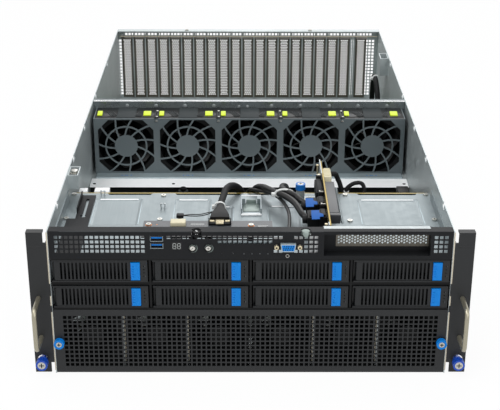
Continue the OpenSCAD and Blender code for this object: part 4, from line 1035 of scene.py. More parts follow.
    def ledge(self) -> None:
        """Makes the ledge before the fans, painted nearly white as painted glare, the black painted shade on
        the hem under it, and the zinc strip at their feet.
        """
        half, near, top = self.ledge_half, self.ledge_front, self.ledge_top
        bright = Stock().block((-half, near, top - 0.3), (half, self.front - self.foot[0], top), 0.1, 1)
        bright.done("fan_ledge", Shop.glare_painted_zinc, Slot.GALVANISED_STEEL)
        # The hem is drawn black as painted shade under the ledge's front.
        hem = Stock().block((-half, 345.3, 73.6), (half, 346.1, top - 0.4), 0.1, 1)
        hem.block((-half, near + 0.2, top - 0.7), (half, 346.0, top - 0.3), 0.1, 1)
        hem.done("ledge_hem_painted_shade", Shop.black_coat, Slot.BLACK_PAINT)
        reach, half = self.foot
        strip = Stock().block((-half, self.front - reach - 0.1, 85.9), (half, self.front - 0.2, 86.2), 0.1, 1)
        strip.block((-half, self.front - reach - 0.2, 84.3), (half, self.front - reach + 0.1, 86.0), 0)
        strip.done("fan_foot_strip", Shop.strip_sheet, Slot.FAN_WALL_GREY)


@dataclass
class FanRotor:
    """One fan's rotor: a hub with swept, twisted blades, in place of the plain solid.

    Args:
        node: the rotor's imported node, which is also its body.
        middle: the middle of its hub's front face.
        hub: radius of the hub.
        tip: radius over the blades.
        depth: depth of the rotor along its axle.
        blades: how many blades it has.
        sweep: degrees that a blade's tip runs ahead of its root.
        chord: degrees that a blade covers.
        rise: share of the depth that a blade climbs at its root.
        wall: thickness of a blade.
    """

    node: str
    middle: Point
    hub: float
    tip: float
    depth: float
    blades: int = 7
    sweep: float = 34.0
    chord: float = 60.0
    rise: float = 0.8
    wall: float = 1.5

    def make(self) -> None:
        """Makes the rotor and lets it stand for its node."""
        rotor = Stock().rod(self.middle, self.hub, self.depth, Axis.Y, 1.4, 48)
        for k in range(self.blades):
            self.blade(rotor, math.tau * k / self.blades)
        piece = rotor.done(self.node + "_blades", Shop.rotor_nylon, Slot.ROTOR_PLASTIC, self.node)
        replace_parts(piece, self.node)

    def blade(self, rotor: Stock, start: float) -> None:
        """Adds one blade: a grid bent round the hub, swept forwards and twisted along its span.

        Args:
            rotor: the piece that it joins.
            start: the angle of its root, in radians.
        """
        x, y, z = self.middle
        root = self.hub - self.wall
        grid = bmesh.ops.create_grid(rotor.build, x_segments=7, y_segments=8, size=0.5)["verts"]
        for vert in grid:
            span, chord = vert.co.x + 0.5, vert.co.y + 0.5
            radius = root + (self.tip - root) * span
            angle = start + math.radians(self.sweep * span ** 1.4 + self.chord * (chord - 0.5))
            climb = self.rise * (chord - 0.5) * (1 - 0.25 * span) + 0.05 * math.sin(math.pi * chord)
            vert.co = Vector((x + radius * math.cos(angle), y + self.depth * (0.5 + climb),
                              z + radius * math.sin(angle)))
        faces = list(dict.fromkeys(f for v in grid for f in v.link_faces))
        bmesh.ops.recalc_face_normals(rotor.build, faces=faces)
        bmesh.ops.solidify(rotor.build, geom=faces, thickness=self.wall)


@dataclass
class RotorRow:
    """A row of equal rotors about the server's middle.

    Args:
        node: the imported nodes' name before their number.
        count: how many there are.
        pitch: distance between two.
        front: distance of the hubs from the front face.
        height: height of the axles.
        hub: radius of a hub.
        tip: radius over the blades.
        depth: depth of a rotor.
    """

    node: str
    count: int
    pitch: float
    front: float
    height: float
    hub: float
    tip: float
    depth: float

    def make(self) -> None:
        """Makes each rotor of the row."""
        for k in range(self.count):
            middle = ((k - (self.count - 1) / 2) * self.pitch, self.front, self.height)
            FanRotor(f"{self.node}_{k + 1}", middle, self.hub, self.tip, self.depth).make()


@dataclass
class FrontPanel:
    """The port panel: its sockets' linings, display, lamps, screws, the sheet's cut edges and the painted
    highlight along its bend.

    Args:
        usb_x: middle of the two stacked sockets.
        usb_heights: height of each socket's middle.
        usb_lips: left, low, right and high side of each bright lip, from a socket's middle.
        display_at: x and height of the display's middle.
        digit: half the width of a digit, half its height and half the width of a stroke.
        button_xs: middle of the power button and of the identity button.
        button_z: height of the buttons.
        video_at: x and height of the video socket's middle.
        video_rows: pin holes in a row, their distance, and the distance of two rows.
        post_reach: distance of a jackscrew from the video socket's middle.
        lamp_z: height of the status lamps.
        lamp_xs: where the lamps are.
        pin_xs: where the recessed pin-hole buttons are.
        bend_spans: the stretches of the bend between face and flange that get a painted highlight.
        raw_spans: heights between which the side walls' cut edges are bare.
        sprayed_spans: heights between which those edges are sprayed over.
        fan_pitch: distance between two front fans.
        board_top: height of the port board's upper face.
        pads: x, y, radius, thickness and sides of each bare pad on the port board.
        outlines: two corners of each white line on the port board.
    """

    usb_x: float = -101.0
    usb_heights: Span = (159.0, 167.4)
    usb_lips: Tuple[Tuple[float, float, float, float], ...] = (
        (-6.9, -3.1, 6.9, -2.75), (6.5, -3.1, 6.9, 3.1), (-6.9, -3.1, -6.6, 3.1))
    display_at: Span = (-79.7, 158.5)
    digit: Tuple[float, float, float] = (1.55, 3.1, 0.27)
    button_xs: Span = (-62.7, -45.7)
    button_z: float = 156.5
    video_at: Span = (40.2, 158.2)
    video_rows: Tuple[int, float, float] = (5, 2.4, 2.0)
    post_reach: float = 12.5
    lamp_z: float = 149.5
    lamp_xs: Tuple[float, ...] = (-7.3, 1.3, 9.9, 18.5)
    pin_xs: Tuple[float, ...] = (-31.3, -19.1)
    bend_spans: Tuple[Span, ...] = ((-205.0, -64.5), (-52.0, 52.5), (65.5, 77.5))
    raw_spans: Tuple[Span, ...] = ((113.0, 174.5), (86.0, 98.0), (4.0, 78.0))
    sprayed_spans: Tuple[Span, ...] = ((98.0, 113.0), (78.0, 86.0))
    fan_pitch: float = 71.0
    board_top: float = 167.55
    pads: Tuple[Tuple[float, float, float, float, int], ...] = (
        (-112.0, 35.0, 3.5, 0.2, 28), (0.5, 33.4, 3.5, 0.2, 28), (-103.0, 35.5, 0.8, 0.15, 16),
        (7.5, 25.0, 0.8, 0.15, 16), (14.5, 23.5, 0.8, 0.15, 16))
    outlines: Tuple[Tuple[float, float, float, float], ...] = (
        (-66.0, 35.6, -51.0, 36.1), (-66.0, 37.6, -51.0, 38.1), (-66.0, 35.6, -65.5, 38.1),
        (8.0, 33.0, 19.0, 33.5), (8.0, 30.5, 17.0, 31.0), (-115.0, 24.0, -104.0, 24.5))

    def make(self) -> None:
        """Makes every piece of the panel."""
        self.usb_sockets()
        self.display()
        for name, x in zip(("power", "id"), self.button_xs):
            self.button(name, x)
        self.video_socket()
        self.lamps()
        self.cut_edges()
        self.fan_dividers()
        self.wall_screw()
        self.bent_edge()
        self.pin_holes()
        self.catches()
        self.under_board()
        self.board_dressing()

    def usb_sockets(self) -> None:
        """Makes the blue tongues and the bright lips and springs of the two stacked sockets."""
        x = self.usb_x
        tongues, shells = Stock(), Stock()
        for z in self.usb_heights:
            tongues.block((x - 5.8, -0.45, z + 0.3), (x + 5.8, 11.5, z + 2.2), 0.2)
            for left, low, right, high in self.usb_lips:
                shells.block((x + left, -0.8, z + low), (x + right, 1.5, z + high), 0.1)
            for spring in (-3.6, 3.6):
                shells.block((x + spring - 1.1, -0.1, z - 2.75), (x + spring + 1.1, 7.0, z - 2.4), 0.1)
        tongues.done("usb_tongues", Shop.socket_blue, Slot.ROYAL_BLUE_KNOB)
        shells.done("usb_shells", Shop.strip_sheet, Slot.NICKEL_SCREW)

    def display(self) -> None:
        """Makes the two-digit display: a dark window and its seven-stroke digits, all lit."""
        x, z = self.display_at
        window = Stock().block((x - 5.4, 0.2, z - 4.4), (x + 5.4, 1.4, z + 4.4), 0.2)
        window.done("display_window", Shop.smoked_glass, Slot.BLACK_PLASTIC)
        half, tall, bar = self.digit
        digits = Stock()
        for middle in (x - 2.45, x + 2.45):
            for rise in (-tall, 0.0, tall):
                digits.block((middle - half + bar, 0.0, z + rise - bar),
                             (middle + half - bar, 0.22, z + rise + bar), 0.05, 1)
            for side in (-half, half):
                for rise in (-tall / 2, tall / 2):
                    digits.block((middle + side - bar, 0.0, z + rise - tall / 2 + bar * 1.2),
                                 (middle + side + bar, 0.22, z + rise + tall / 2 - bar * 1.2), 0.05, 1)
        digits.done("display_segments", Shop.segment_white, Slot.BLACK_PLASTIC)

    def button(self, name: str, x: float) -> None:
        """Makes a button's well with a crescent of painted highlight at its lower lip, and its black skirt,
        slotted face and mark.

        Args:
            name: which button it is, power or id.
            x: its middle.
        """
        z, body = self.button_z, f"{name}_button"
        # The lip is a zinc disc set off to the lower right, so that a crescent of painted highlight shows
        # round the well.
        lip = Stock().rod((x + 0.45, -0.12, z - 0.35), 4.95, 0.3, Axis.Y, 0.05, 48)
        lip.done(f"{body}_lip", Shop.tongue_sheet, Slot.BLACK_PAINT)
        well = Stock().band((x, -0.15, z), 3.95, (0.9, 0.5), Axis.Y, 48)
        well.done(f"{body}_well", Shop.black_nylon, Slot.BLACK_PAINT)
        skirt = Stock().band((x, -1.6, z), 2.95, (0.6, 0.8), Axis.Y, 48)
        skirt.done(f"{body}_skirt", Shop.black_nylon, Slot.BLACK_PLASTIC, body)
        face = Stock().rod((x, -1.75, z), 2.7, 0.7, Axis.Y, 0.3, 40)
        face.done(f"{body}_face", Shop.chrome, Slot.BUTTON_METAL, body)
        lean = Matrix.Rotation(math.radians(38 if name == "power" else 0), 4, "Y")
        mark = Stock().block((x - 0.28, -1.82, z - 1.7), (x + 0.28, -1.6, z + 1.7), 0.05, 1, lean)
        if name == "id":
            mark.block((x - 1.7, -1.82, z - 0.28), (x + 1.7, -1.6, z + 0.28), 0.05, 1)
        mark.done(f"{body}_mark", Shop.black_nylon, Slot.BLACK_PLASTIC, body)

    def video_socket(self) -> None:
        """Makes the video socket: its blue insert with pin holes, its nickel shell and two jackscrews."""
        x, z = self.video_at
        corners = [(-7.4, 3.6), (7.4, 3.6), (6.2, -3.6), (-6.2, -3.6)]
        insert = Stock().plate([(x + a, -4.5, z + b) for a, b in corners], (0, 1.0, 0), 0.4, 3)
        insert.done("video_insert", Shop.azure_abs, Slot.ROYAL_BLUE_KNOB)
        count, step, drop = self.video_rows
        holes = Stock()
        for row in (-1, 0, 1):
            for k in range(count):
                holes.rod((x + (k - 2) * step + row * 0.6, -4.7, z + row * drop), 0.62, 0.3, Axis.Y, 0, 10)
        holes.done("video_pin_holes", Shop.black_nylon, Slot.BLACK_PLASTIC)
        outer = [(-8.3, 4.5), (8.3, 4.5), (7.1, -4.5), (-7.1, -4.5)]
        inner = [(-7.3, 3.5), (7.3, 3.5), (6.1, -3.5), (-6.1, -3.5)]
        shell = Stock()
        for k in range(4):
            wall = [outer[k], outer[(k + 1) % 4], inner[(k + 1) % 4], inner[k]]
            shell.plate([(x + a, -4.6, z + b) for a, b in wall], (0, 4.6, 0), 0.15)
        shell.done("video_shell", Shop.strip_sheet, Slot.NICKEL_SCREW)
        posts, bores = Stock(), Stock()
        for side in (-self.post_reach, self.post_reach):
            posts.rod((x + side, -3.7, z), 2.75, 3.6, Axis.Y, 0.4, 6)
            posts.rod((x + side, -4.0, z), 1.9, 0.6, Axis.Y, 0.2, 24)
            bores.rod((x + side, -4.15, z), 1.05, 0.4, Axis.Y, 0, 20)
        posts.done("video_jackscrews", Shop.cream_metal, Slot.NICKEL_SCREW)
        bores.done("video_jackscrew_bores", Shop.black_nylon, Slot.BLACK_PLASTIC)

    def lamps(self) -> None:
        """Makes the light pipes of the status lamps, and the ring round the fixing hole below the port."""
        pipes = Stock()
        for x in self.lamp_xs:
            pipes.rod((x, -0.15, self.lamp_z), 0.75, 1.6, Axis.Y, 0.2, 16)
        pipes.done("lamp_pipes", Shop.clear_acrylic, Slot.BLACK_PLASTIC)
        ring = Stock().band((self.video_at[0] - 0.6, -0.05, 147.0), 1.5, (0.5, 0.4), Axis.Y, 28)
        ring.done("port_fixing_ring", Shop.nickel, Slot.NICKEL_SCREW)

    def cut_edges(self) -> None:
        """Makes the side walls' cut edges between the panels and the ears, bare here and sprayed there."""
        bare, sprayed = Stock(), Stock()
        for low, high in self.raw_spans:
            bare.block((-219.6, -0.3, low), (-218.2, 1.0, high), 0.25)
        for low, high in self.sprayed_spans:
            sprayed.block((-219.7, -0.35, low), (-218.1, 1.0, high), 0.25)
        bare.mirrored().done("cut_steel_edges", Shop.cut_edge, Slot.GALVANISED_STEEL)
        sprayed.mirrored().done("sprayed_steel_edges", Shop.black_coat, Slot.BLACK_PAINT)

    def fan_dividers(self) -> None:
        """Makes the bare steel dividers between the front fans, which show through the grille."""
        bars = Stock()
        for k in range(-3, 4):
            x = self.fan_pitch * k - 1.2 * ((k > 0) - (k < 0))
            bars.block((x - 0.8, 12.5, 8.0), (x + 0.8, 14.0, 74.0), 0.2, 1)
        bars.done("front_fan_dividers", Shop.cut_edge, Slot.GALVANISED_STEEL)

    def wall_screw(self) -> None:
        """Makes the domed screw on top of the bracket on the left wall."""
        screw = Stock().rod((-211.2, 176.0, 172.0), 4.3, 3.6, Axis.Z, 1.4, 32)
        screw.rod((-211.2, 176.0, 170.0), 5.6, 2.2, Axis.Z, 0.4, 32)
        screw.done("wall_bracket_screw", Shop.nickel, Slot.NICKEL_SCREW)

    def bent_edge(self) -> None:
        """Makes a painted highlight along the bend between the panel's face and its top flange: a round bead
        in grey, lighter than the panel's coat.
        """
        bead = Stock()
        for left, right in self.bend_spans:
            bead.rod((left, 0.15, 175.6), 0.35, right - left, Axis.X, 0.05, 12)
        bead.done("panel_bend_highlight", Shop.grey_nylon, Slot.BLACK_PAINT)

    def pin_holes(self) -> None:
        """Makes the dark linings of the two recessed pin-hole buttons."""
        pins = Stock()
        for x in self.pin_xs:
            pins.rod((x, 1.3, self.lamp_z + 5.0), 0.7, 1.2, Axis.Y, 0, 16)
        pins.done("recessed_pins", Shop.black_nylon, Slot.BLACK_PLASTIC)

    def catches(self) -> None:
        """Makes the domed spring catch in the right-hand notch, the dark one in the left and its mark."""
        dome = Stock().rod((59.0, 4.6, 168.0), 5.2, 7.6, Axis.Z, 2.4, 40)
        dome.done("cover_catch_right", Shop.tongue_sheet, Slot.GALVANISED_STEEL)
        dark = Stock().rod((-58.3, 4.9, 168.0), 5.3, 6.6, Axis.Z, 1.4, 40)
        dark.done("cover_catch_left", Shop.black_nylon, Slot.BLACK_PLASTIC)
        lean = Matrix.Rotation(math.radians(35), 4, "Z")
        mark = Stock().block((-59.0, 2.4, 174.5), (-57.6, 6.0, 174.8), 0.1, 1, lean)
        mark.block((-59.4, -0.35, 172.4), (-57.2, 0.1, 173.2), 0.1, 1)
        mark.done("cover_catch_mark", Shop.white_nylon, Slot.BLACK_PLASTIC)

    def under_board(self) -> None:
        """Makes the sockets' housings behind the panel, in a grey lighter than their shade as painted light,
        and the flange beside the recess, nearly white as painted light where the lit deck shows through the
        vents.
        """
        housings = Stock().block((-36.0, 2.6, 157.2), (28.0, 3.4, 163.0), 0.3)
        housings.done("socket_housings", Shop.strip_sheet, Slot.GALVANISED_STEEL)
        flange = Stock().block((61.5, 3.0, 148.0), (77.6, 3.6, 172.0), 0.3)
        flange.done("recess_flange_painted_light", Shop.glare_painted_zinc, Slot.GALVANISED_STEEL)

    def board_dressing(self) -> None:
        """Makes the cream socket, the bare pads and the printed outlines on the port board."""
        top = self.board_top
        cream = Stock().block((-88.0, 30.0, 167.5), (-71.2, 41.0, 172.6), 0.9, 3)
        cream.done("port_board_cream_socket", Shop.cream_nylon, Slot.BLACK_BOARD)
        pads = Stock()
        for x, y, radius, thick, sides in self.pads:
            pads.rod((x, y, top), radius, thick, Axis.Z, 0, sides)
        pads.done("port_board_pads", Shop.copper, Slot.NICKEL_SCREW)
        marks = Stock()
        for left, near, right, far in self.outlines:
            marks.block((left, near, top), (right, far, top + 0.1), 0)
        marks.done("port_board_outlines", Shop.white_nylon, Slot.BLACK_BOARD)


@dataclass
class SleevedPlug:
    """The plug of the sleeved bundle with its boot and contacts, and the small sense plug beside it.

    Args:
        middle: middle of the plug.
        face: where the plug's front is.
        floor: height of the board that it lies on.
        boot: distance, drop below the boot's top, half width, half height and squareness of each section.
        contacts: left, near, right and far end of each contact, from the plug's middle and the front face.
    """

    middle: float = -34.0
    face: float = 33.0
    floor: float = 167.6
    boot: Tuple[Tuple[float, float, float, float, float], ...] = (
        (43.0, 1.2, 11.2, 3.0, 0.9), (49.0, 0.8, 10.6, 3.6, 0.8), (58.0, 0.8, 8.8, 4.0, 0.6),
        (70.0, 2.0, 6.2, 4.3, 0.3), (82.0, 4.0, 4.7, 4.4, 0.0), (90.0, 6.0, 4.3, 4.3, 0.0))
    contacts: Tuple[Tuple[float, float, float, float], ...] = (
        (-11.0, 37.0, -5.8, 41.5), (-4.6, 36.0, 4.6, 42.5), (5.8, 37.0, 11.0, 41.5),
        (-2.4, 44.0, 2.4, 47.0), (-4.2, 31.5, 4.2, 34.5))

    def make(self) -> None:
        """Makes the plug's pieces and the sense plug with its two leads."""
        x, floor = self.middle, self.floor
        top = floor + 4.2
        sections = [((x, y, top - drop), wide, high, square) for y, drop, wide, high, square in self.boot]
        boot = Stock().loft(sections, 32)
        boot.done("bundle_boot", Shop.black_nylon, Slot.CABLE_BLACK)
        body = Stock().block((x - 12.0, self.face, floor), (x + 12.0, 43.6, floor + 2.6), 0.5)
        for cheek in (-12.0, 12.0):
            body.block((x + cheek - 0.6, self.face + 1.0, floor), (x + cheek + 0.6, 45.0, floor + 4.2), 0.4)
        body.done("bundle_plug_body", Shop.black_nylon, Slot.CABLE_BLACK)
        contacts = Stock()
        for left, near, right, far in self.contacts:
            contacts.block((x + left, near, floor + 2.2), (x + right, far, floor + 3.6), 0.3)
        contacts.done("bundle_plug_contacts", Shop.cream_metal, Slot.CABLE_BLACK)
        sense = Stock().block((-82.5, 52.0, floor - 0.1), (-74.5, 59.0, floor + 3.6), 0.8, 3)
        sense.block((-80.5, 50.5, floor), (-76.5, 53.0, floor + 2.0), 0.4)
        sense.done("sense_plug", Shop.black_nylon, Slot.CABLE_BLACK)
        for number, lift in enumerate((0.0, 1.3), 1):
            lead = hose([(-75.5, 55.5 + lift, floor + 1.8), (-66.0, 55.5 + lift, floor + 1.4 + lift),
                         (-56.0, 56.5 + lift, floor + 1.2 + lift), (-48.0, 59.5 + lift, floor + 1.8 + lift),
                         (-42.0, 64.0 + lift, floor + 2.6)], 0.55, 3)
            mount(f"sense_lead_{number}", lead, Shop.jacket)


@dataclass
class Cable:
    """One cable, held at both ends, smooth along the same route as the plain tube that it stands for.

    Args:
        name: its name.
        radius: its radius.
        finish: its jacket or sleeve.
        route: the points that it passes through.
    """

    name: str
    radius: float
    finish: Finish
    route: Tuple[Point, ...]

    def make(self) -> None:
        """Makes the cable and lets it stand for the plain tubes."""
        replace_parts(mount(self.name, hose(self.route, self.radius), self.finish), "cables")


CABLES: Tuple[Cable, ...] = (
    Cable("bundle", 4.0, Shop.sleeve, (
        (-33, 64, 165), (-33, 72, 165), (-35.5, 92, 162), (-34, 113, 160), (-31.5, 138, 158),
        (-27.8, 162, 157.5), (-21.5, 175, 155.5), (-14.5, 184, 149), (-10, 192, 139), (-9.5, 199, 125),
        (-11, 207, 103), (-13.5, 214, 80), (-14, 219, 55), (-14, 219, 20))),
    Cable("riser_lead_1", 3.7, Shop.jacket, (
        (64, 70, 160), (60, 74, 161.5), (56.5, 84, 163), (52, 99, 164.5), (44.3, 117.6, 164),
        (35.3, 132.8, 162.5), (27.5, 145.8, 160.5), (22, 158, 158), (14.4, 178, 152.5), (8.5, 187, 148),
        (3.5, 194, 139), (1, 200, 126), (-2, 210, 98), (-4.5, 219, 60), (-4.5, 219, 20))),
    Cable("riser_lead_2", 3.7, Shop.jacket, (
        (64, 107, 161), (58, 112, 163.5), (54, 121, 164.5), (45, 134, 164), (39, 147, 162.5),
        (38.5, 162, 159.5), (41, 176, 154.5), (44, 188, 147.5), (44.5, 196, 137), (40, 203, 118),
        (28, 212, 85), (12, 218, 50), (5, 219, 21.2))),
    Cable("thin_lead", 2.0, Shop.jacket, (
        (40, 12, 157), (40, 20, 157), (42.5, 45, 157.5), (44, 68, 158), (44, 86, 158), (42, 104, 158),
        (37.5, 126, 156.5), (32.5, 139, 156), (20, 166, 150.5), (10, 176, 148.5), (0, 184, 146),
        (-3, 192, 136), (-1, 200, 120), (4, 209, 100), (13, 219, 50), (13, 219, 20))),
    Cable("riser_power_lead", 3.0, Shop.sleeve, (
        (97.3, 182, 168), (100.3, 182, 168), (103.5, 186, 166), (106.5, 190, 159), (110.5, 191, 149),
        (112.5, 191.5, 138), (113, 191, 124), (113, 190, 112.6))),
    Cable("spare_loop", 2.5, Shop.sleeve, (
        (121, 190, 112.8), (120.5, 192, 124), (118.5, 195, 134), (119, 197, 141.5), (124, 198, 146.5),
        (131, 199, 149), (137.5, 199, 148), (140.5, 197, 142.5), (140, 194, 133), (139, 190, 112.8))),
    Cable("rear_power_lead", 4.0, Shop.sleeve, (
        (200, 588, 60), (200, 588, 78), (200, 598, 105), (199, 612, 132), (198, 635, 143), (198, 660, 137),
        (199, 678, 112), (200, 688, 84), (200, 688, 60))),
)


@dataclass
class Harness:
    """The cables with the riser leads' plugs, the nylon ties and the ribbons that pull the plugs.

    Args:
        cables: the cables, in the order that they are laid.
        plug_ys: where each riser plug begins.
        tab_places: x and distance of each pull tab.
    """

    cables: Tuple[Cable, ...] = CABLES
    plug_ys: Tuple[float, ...] = (58.0, 94.0)
    tab_places: Tuple[Span, ...] = ((68.6, 84.0), (73.5, 50.0))

    def make(self) -> None:
        """Makes the cables, their plugs, ties and pull tabs."""
        for cable in self.cables:
            cable.make()
        for number, y in enumerate(self.plug_ys, 1):
            self.plug(number, y)
        self.ties()
        for number, (x, y) in enumerate(self.tab_places, 1):
            self.pull_tab(number, x, y)

    def plug(self, number: int, y: float) -> None:
        """Makes the black plug of one riser lead.

        Args:
            number: the lead's number.
            y: where the plug begins.
        """
        plug = Stock().block((64, y, 152.4), (77.2, y + 22, 165.6), 0.8, 3)
        plug.block((66, y + 3, 165.4), (76, y + 19, 167.0), 0.5)
        plug.rod((58.5, y + 11, 159), 4.9, 7, Axis.X, 0.6, 28)
        plug.done(f"riser_plug_{number}", Shop.black_nylon, Slot.CABLE_BLACK)

    def ties(self) -> None:
        """Makes the white nylon ties with their square heads."""
        bundle = Stock().band((-35.2, 96, 161.6), 5.6, (1.4, 3.4), Axis.Y, 36, 1.02)
        bundle.block((-44.2, 93.6, 159.8), (-39.6, 98.4, 164.6), 0.7)
        bundle.done("bundle_tie", Shop.white_nylon, Slot.CABLE_BLACK)
        leads = Stock().band((40.0, 135.0, 162.4), 4.6, (1.0, 3.2), Axis.Y, 40, 2.1)
        leads.block((24.8, 132.0, 158.6), (29.6, 137.0, 163.4), 0.8)
        leads.done("riser_lead_tie", Shop.white_nylon, Slot.CABLE_BLACK)
        loop = Stock().band((118.3, 195.6, 138.0), 2.6, (0.8, 2.6), Axis.Z, 32)
        loop.block((113.8, 193.6, 136.4), (117.0, 197.6, 139.8), 0.6)
        loop.done("spare_loop_tie", Shop.white_nylon, Slot.CABLE_BLACK)

    def pull_tab(self, number: int, x: float, y: float) -> None:
        """Makes one royal-blue ribbon that pulls a riser plug, with the loose end beside it.

        Args:
            number: the tab's number.
            x: its middle.
            y: where it begins.
        """
        ribbon = (0, 0.0, 0.5)
        tab = Stock().plate([(x - 5.5, y, 167.2), (x + 3.5, y, 167.6), (x + 3.5, y + 18, 170.4),
                             (x - 5.5, y + 18, 170.0)], ribbon, 0.1)
        tab.plate([(x + 3.3, y + 5, 168.2), (x + 8.0, y + 7, 167.4), (x + 8.0, y + 12, 168.4),
                   (x + 3.3, y + 13, 169.6)], ribbon, 0.1)
        tab.done(f"riser_pull_tab_{number}", Shop.ribbon_blue, Slot.ROYAL_BLUE_KNOB)


@dataclass
class Deck:
    """The drive cage's deck: cable hooks, painted highlights along the bends of its pressed panels, and the
    parts behind it.

    Args:
        height: height of the deck's top.
        hooks: where the lanced cable hooks stand.
        pans: x, distance, width and depth of each pressed panel.
    """

    height: float = 143.0
    hooks: Tuple[Span, ...] = ((-178.0, 173.0), (-103.0, 134.6))
    pans: Tuple[Tuple[float, float, float, float], ...] = (
        (-157.0, 125.0, 57.0, 77.0), (-68.0, 122.0, 45.0, 80.0), (-30.0, 104.0, 22.0, 76.0),
        (40.0, 105.0, 40.0, 76.0), (165.0, 124.0, 74.0, 76.0))

    def make(self) -> None:
        """Makes the deck's pieces."""
        for number, (x, y) in enumerate(self.hooks, 1):
            self.hook(number, x, y)
        ridge = Stock().rod((106.0, 93.0, self.height - 0.5), 1.6, 104.0, Axis.Y, 0.8, 20)
        ridge.done("deck_guide_ridge", Shop.deck_sheet, Slot.DECK_STEEL)
        self.bends()
        self.bracket_lining()
        self.behind()

    def hook(self, number: int, x: float, y: float) -> None:
        """Makes one pair of lanced cable hooks.

        Args:
            number: the pair's number.
            x: its middle.
            y: its distance from the front face.
        """
        z = self.height
        pair = Stock()
        for side in (-1, 1):
            lean = Matrix.Rotation(math.radians(side * 8), 4, "Y")
            stem, tip = x + side * 2.3, x + side * 1.5
            pair.block((stem - 0.6, y - 2.0, z - 0.2), (stem + 0.6, y + 2.0, z + 6.6), 0.4, 2, lean)
            pair.block((tip - 1.0, y - 1.5, z + 5.4), (tip + 1.0, y + 1.5, z + 6.8), 0.4)
        pair.done(f"deck_cable_hook_{number}", Shop.bright_sheet, Slot.DECK_STEEL)

    def bends(self) -> None:
        """Makes painted highlights along the bends round each pressed panel: nearly white along its rear and
        grey along its sides.
        """
        z = self.height
        rear, sides = Stock(), Stock()
        for x, y, wide, deep in self.pans:
            far = y + deep / 2
            reach = wide / 2 - 5.5
            rear.block((x - reach, far - 3.0, z - 0.75), (x + reach, far - 0.6, z + 0.1), 0.35, 3)
            for side in (-1, 1):
                edge = x + side * (wide / 2 - 0.9)
                sides.block((edge - 0.7, y - deep / 2 + 4, z - 0.6), (edge + 0.7, far - 5.5, z + 0.06), 0.3)
        rear.done("deck_pan_rear_highlight", Shop.glare_painted_zinc, Slot.DECK_STEEL)
        sides.done("deck_pan_side_highlight", Shop.strip_sheet, Slot.DECK_STEEL)

    def bracket_lining(self) -> None:
        """Makes the painted highlights on the folds of the bracket on the deck, and the painted shade on the
        tongue inside it.
        """
        z = self.height
        fold = Stock().block((-10.8, 153.2, z + 7.6), (13.2, 154.6, z + 8.8), 0.4)
        fold.block((-10.8, 113.4, z + 0.2), (13.2, 116.0, z + 2.2), 0.4)
        fold.done("deck_bracket_fold_highlight", Shop.glare_painted_zinc, Slot.DECK_STEEL)
        tongue = Stock().block((-8.6, 124.0, z + 0.3), (11.0, 148.0, z + 1.5), 0.5)
        tongue.block((-4.6, 147.0, z + 0.6), (7.0, 149.4, z + 5.6), 0.4)
        tongue.done("deck_bracket_tongue_shade", Shop.tongue_sheet, Slot.DECK_STEEL)

    def behind(self) -> None:
        """Makes the cage's rear lugs and the dark parts that stand behind it on the main board."""
        # The lugs are painted nearly white as painted glare.
        lugs = Stock().block((-190.0, 184.6, 130.0), (-172.0, 197.0, 143.6), 0.6)
        lugs.block((-209.0, 184.6, 130.0), (-199.0, 197.0, 143.0), 0.6)
        lugs.done("cage_rear_lugs", Shop.glare_painted_zinc, Slot.DECK_STEEL)
        dark = Stock().block((188.0, 232.0, 96.0), (203.0, 256.0, 121.0), 1.0)
        dark.rod((-89.5, 332.6, 81.0), 4.2, 5.6, Axis.Z, 2.0, 32)
        dark.done("cable_grommets", Shop.black_nylon, Slot.BLACK_PLASTIC)
        base = Stock().block((-96.0, 329.6, 74.0), (-83.0, 335.8, 82.0), 0.7)
        base.done("cable_grommet_base", Shop.grey_nylon, Slot.BLACK_PLASTIC)


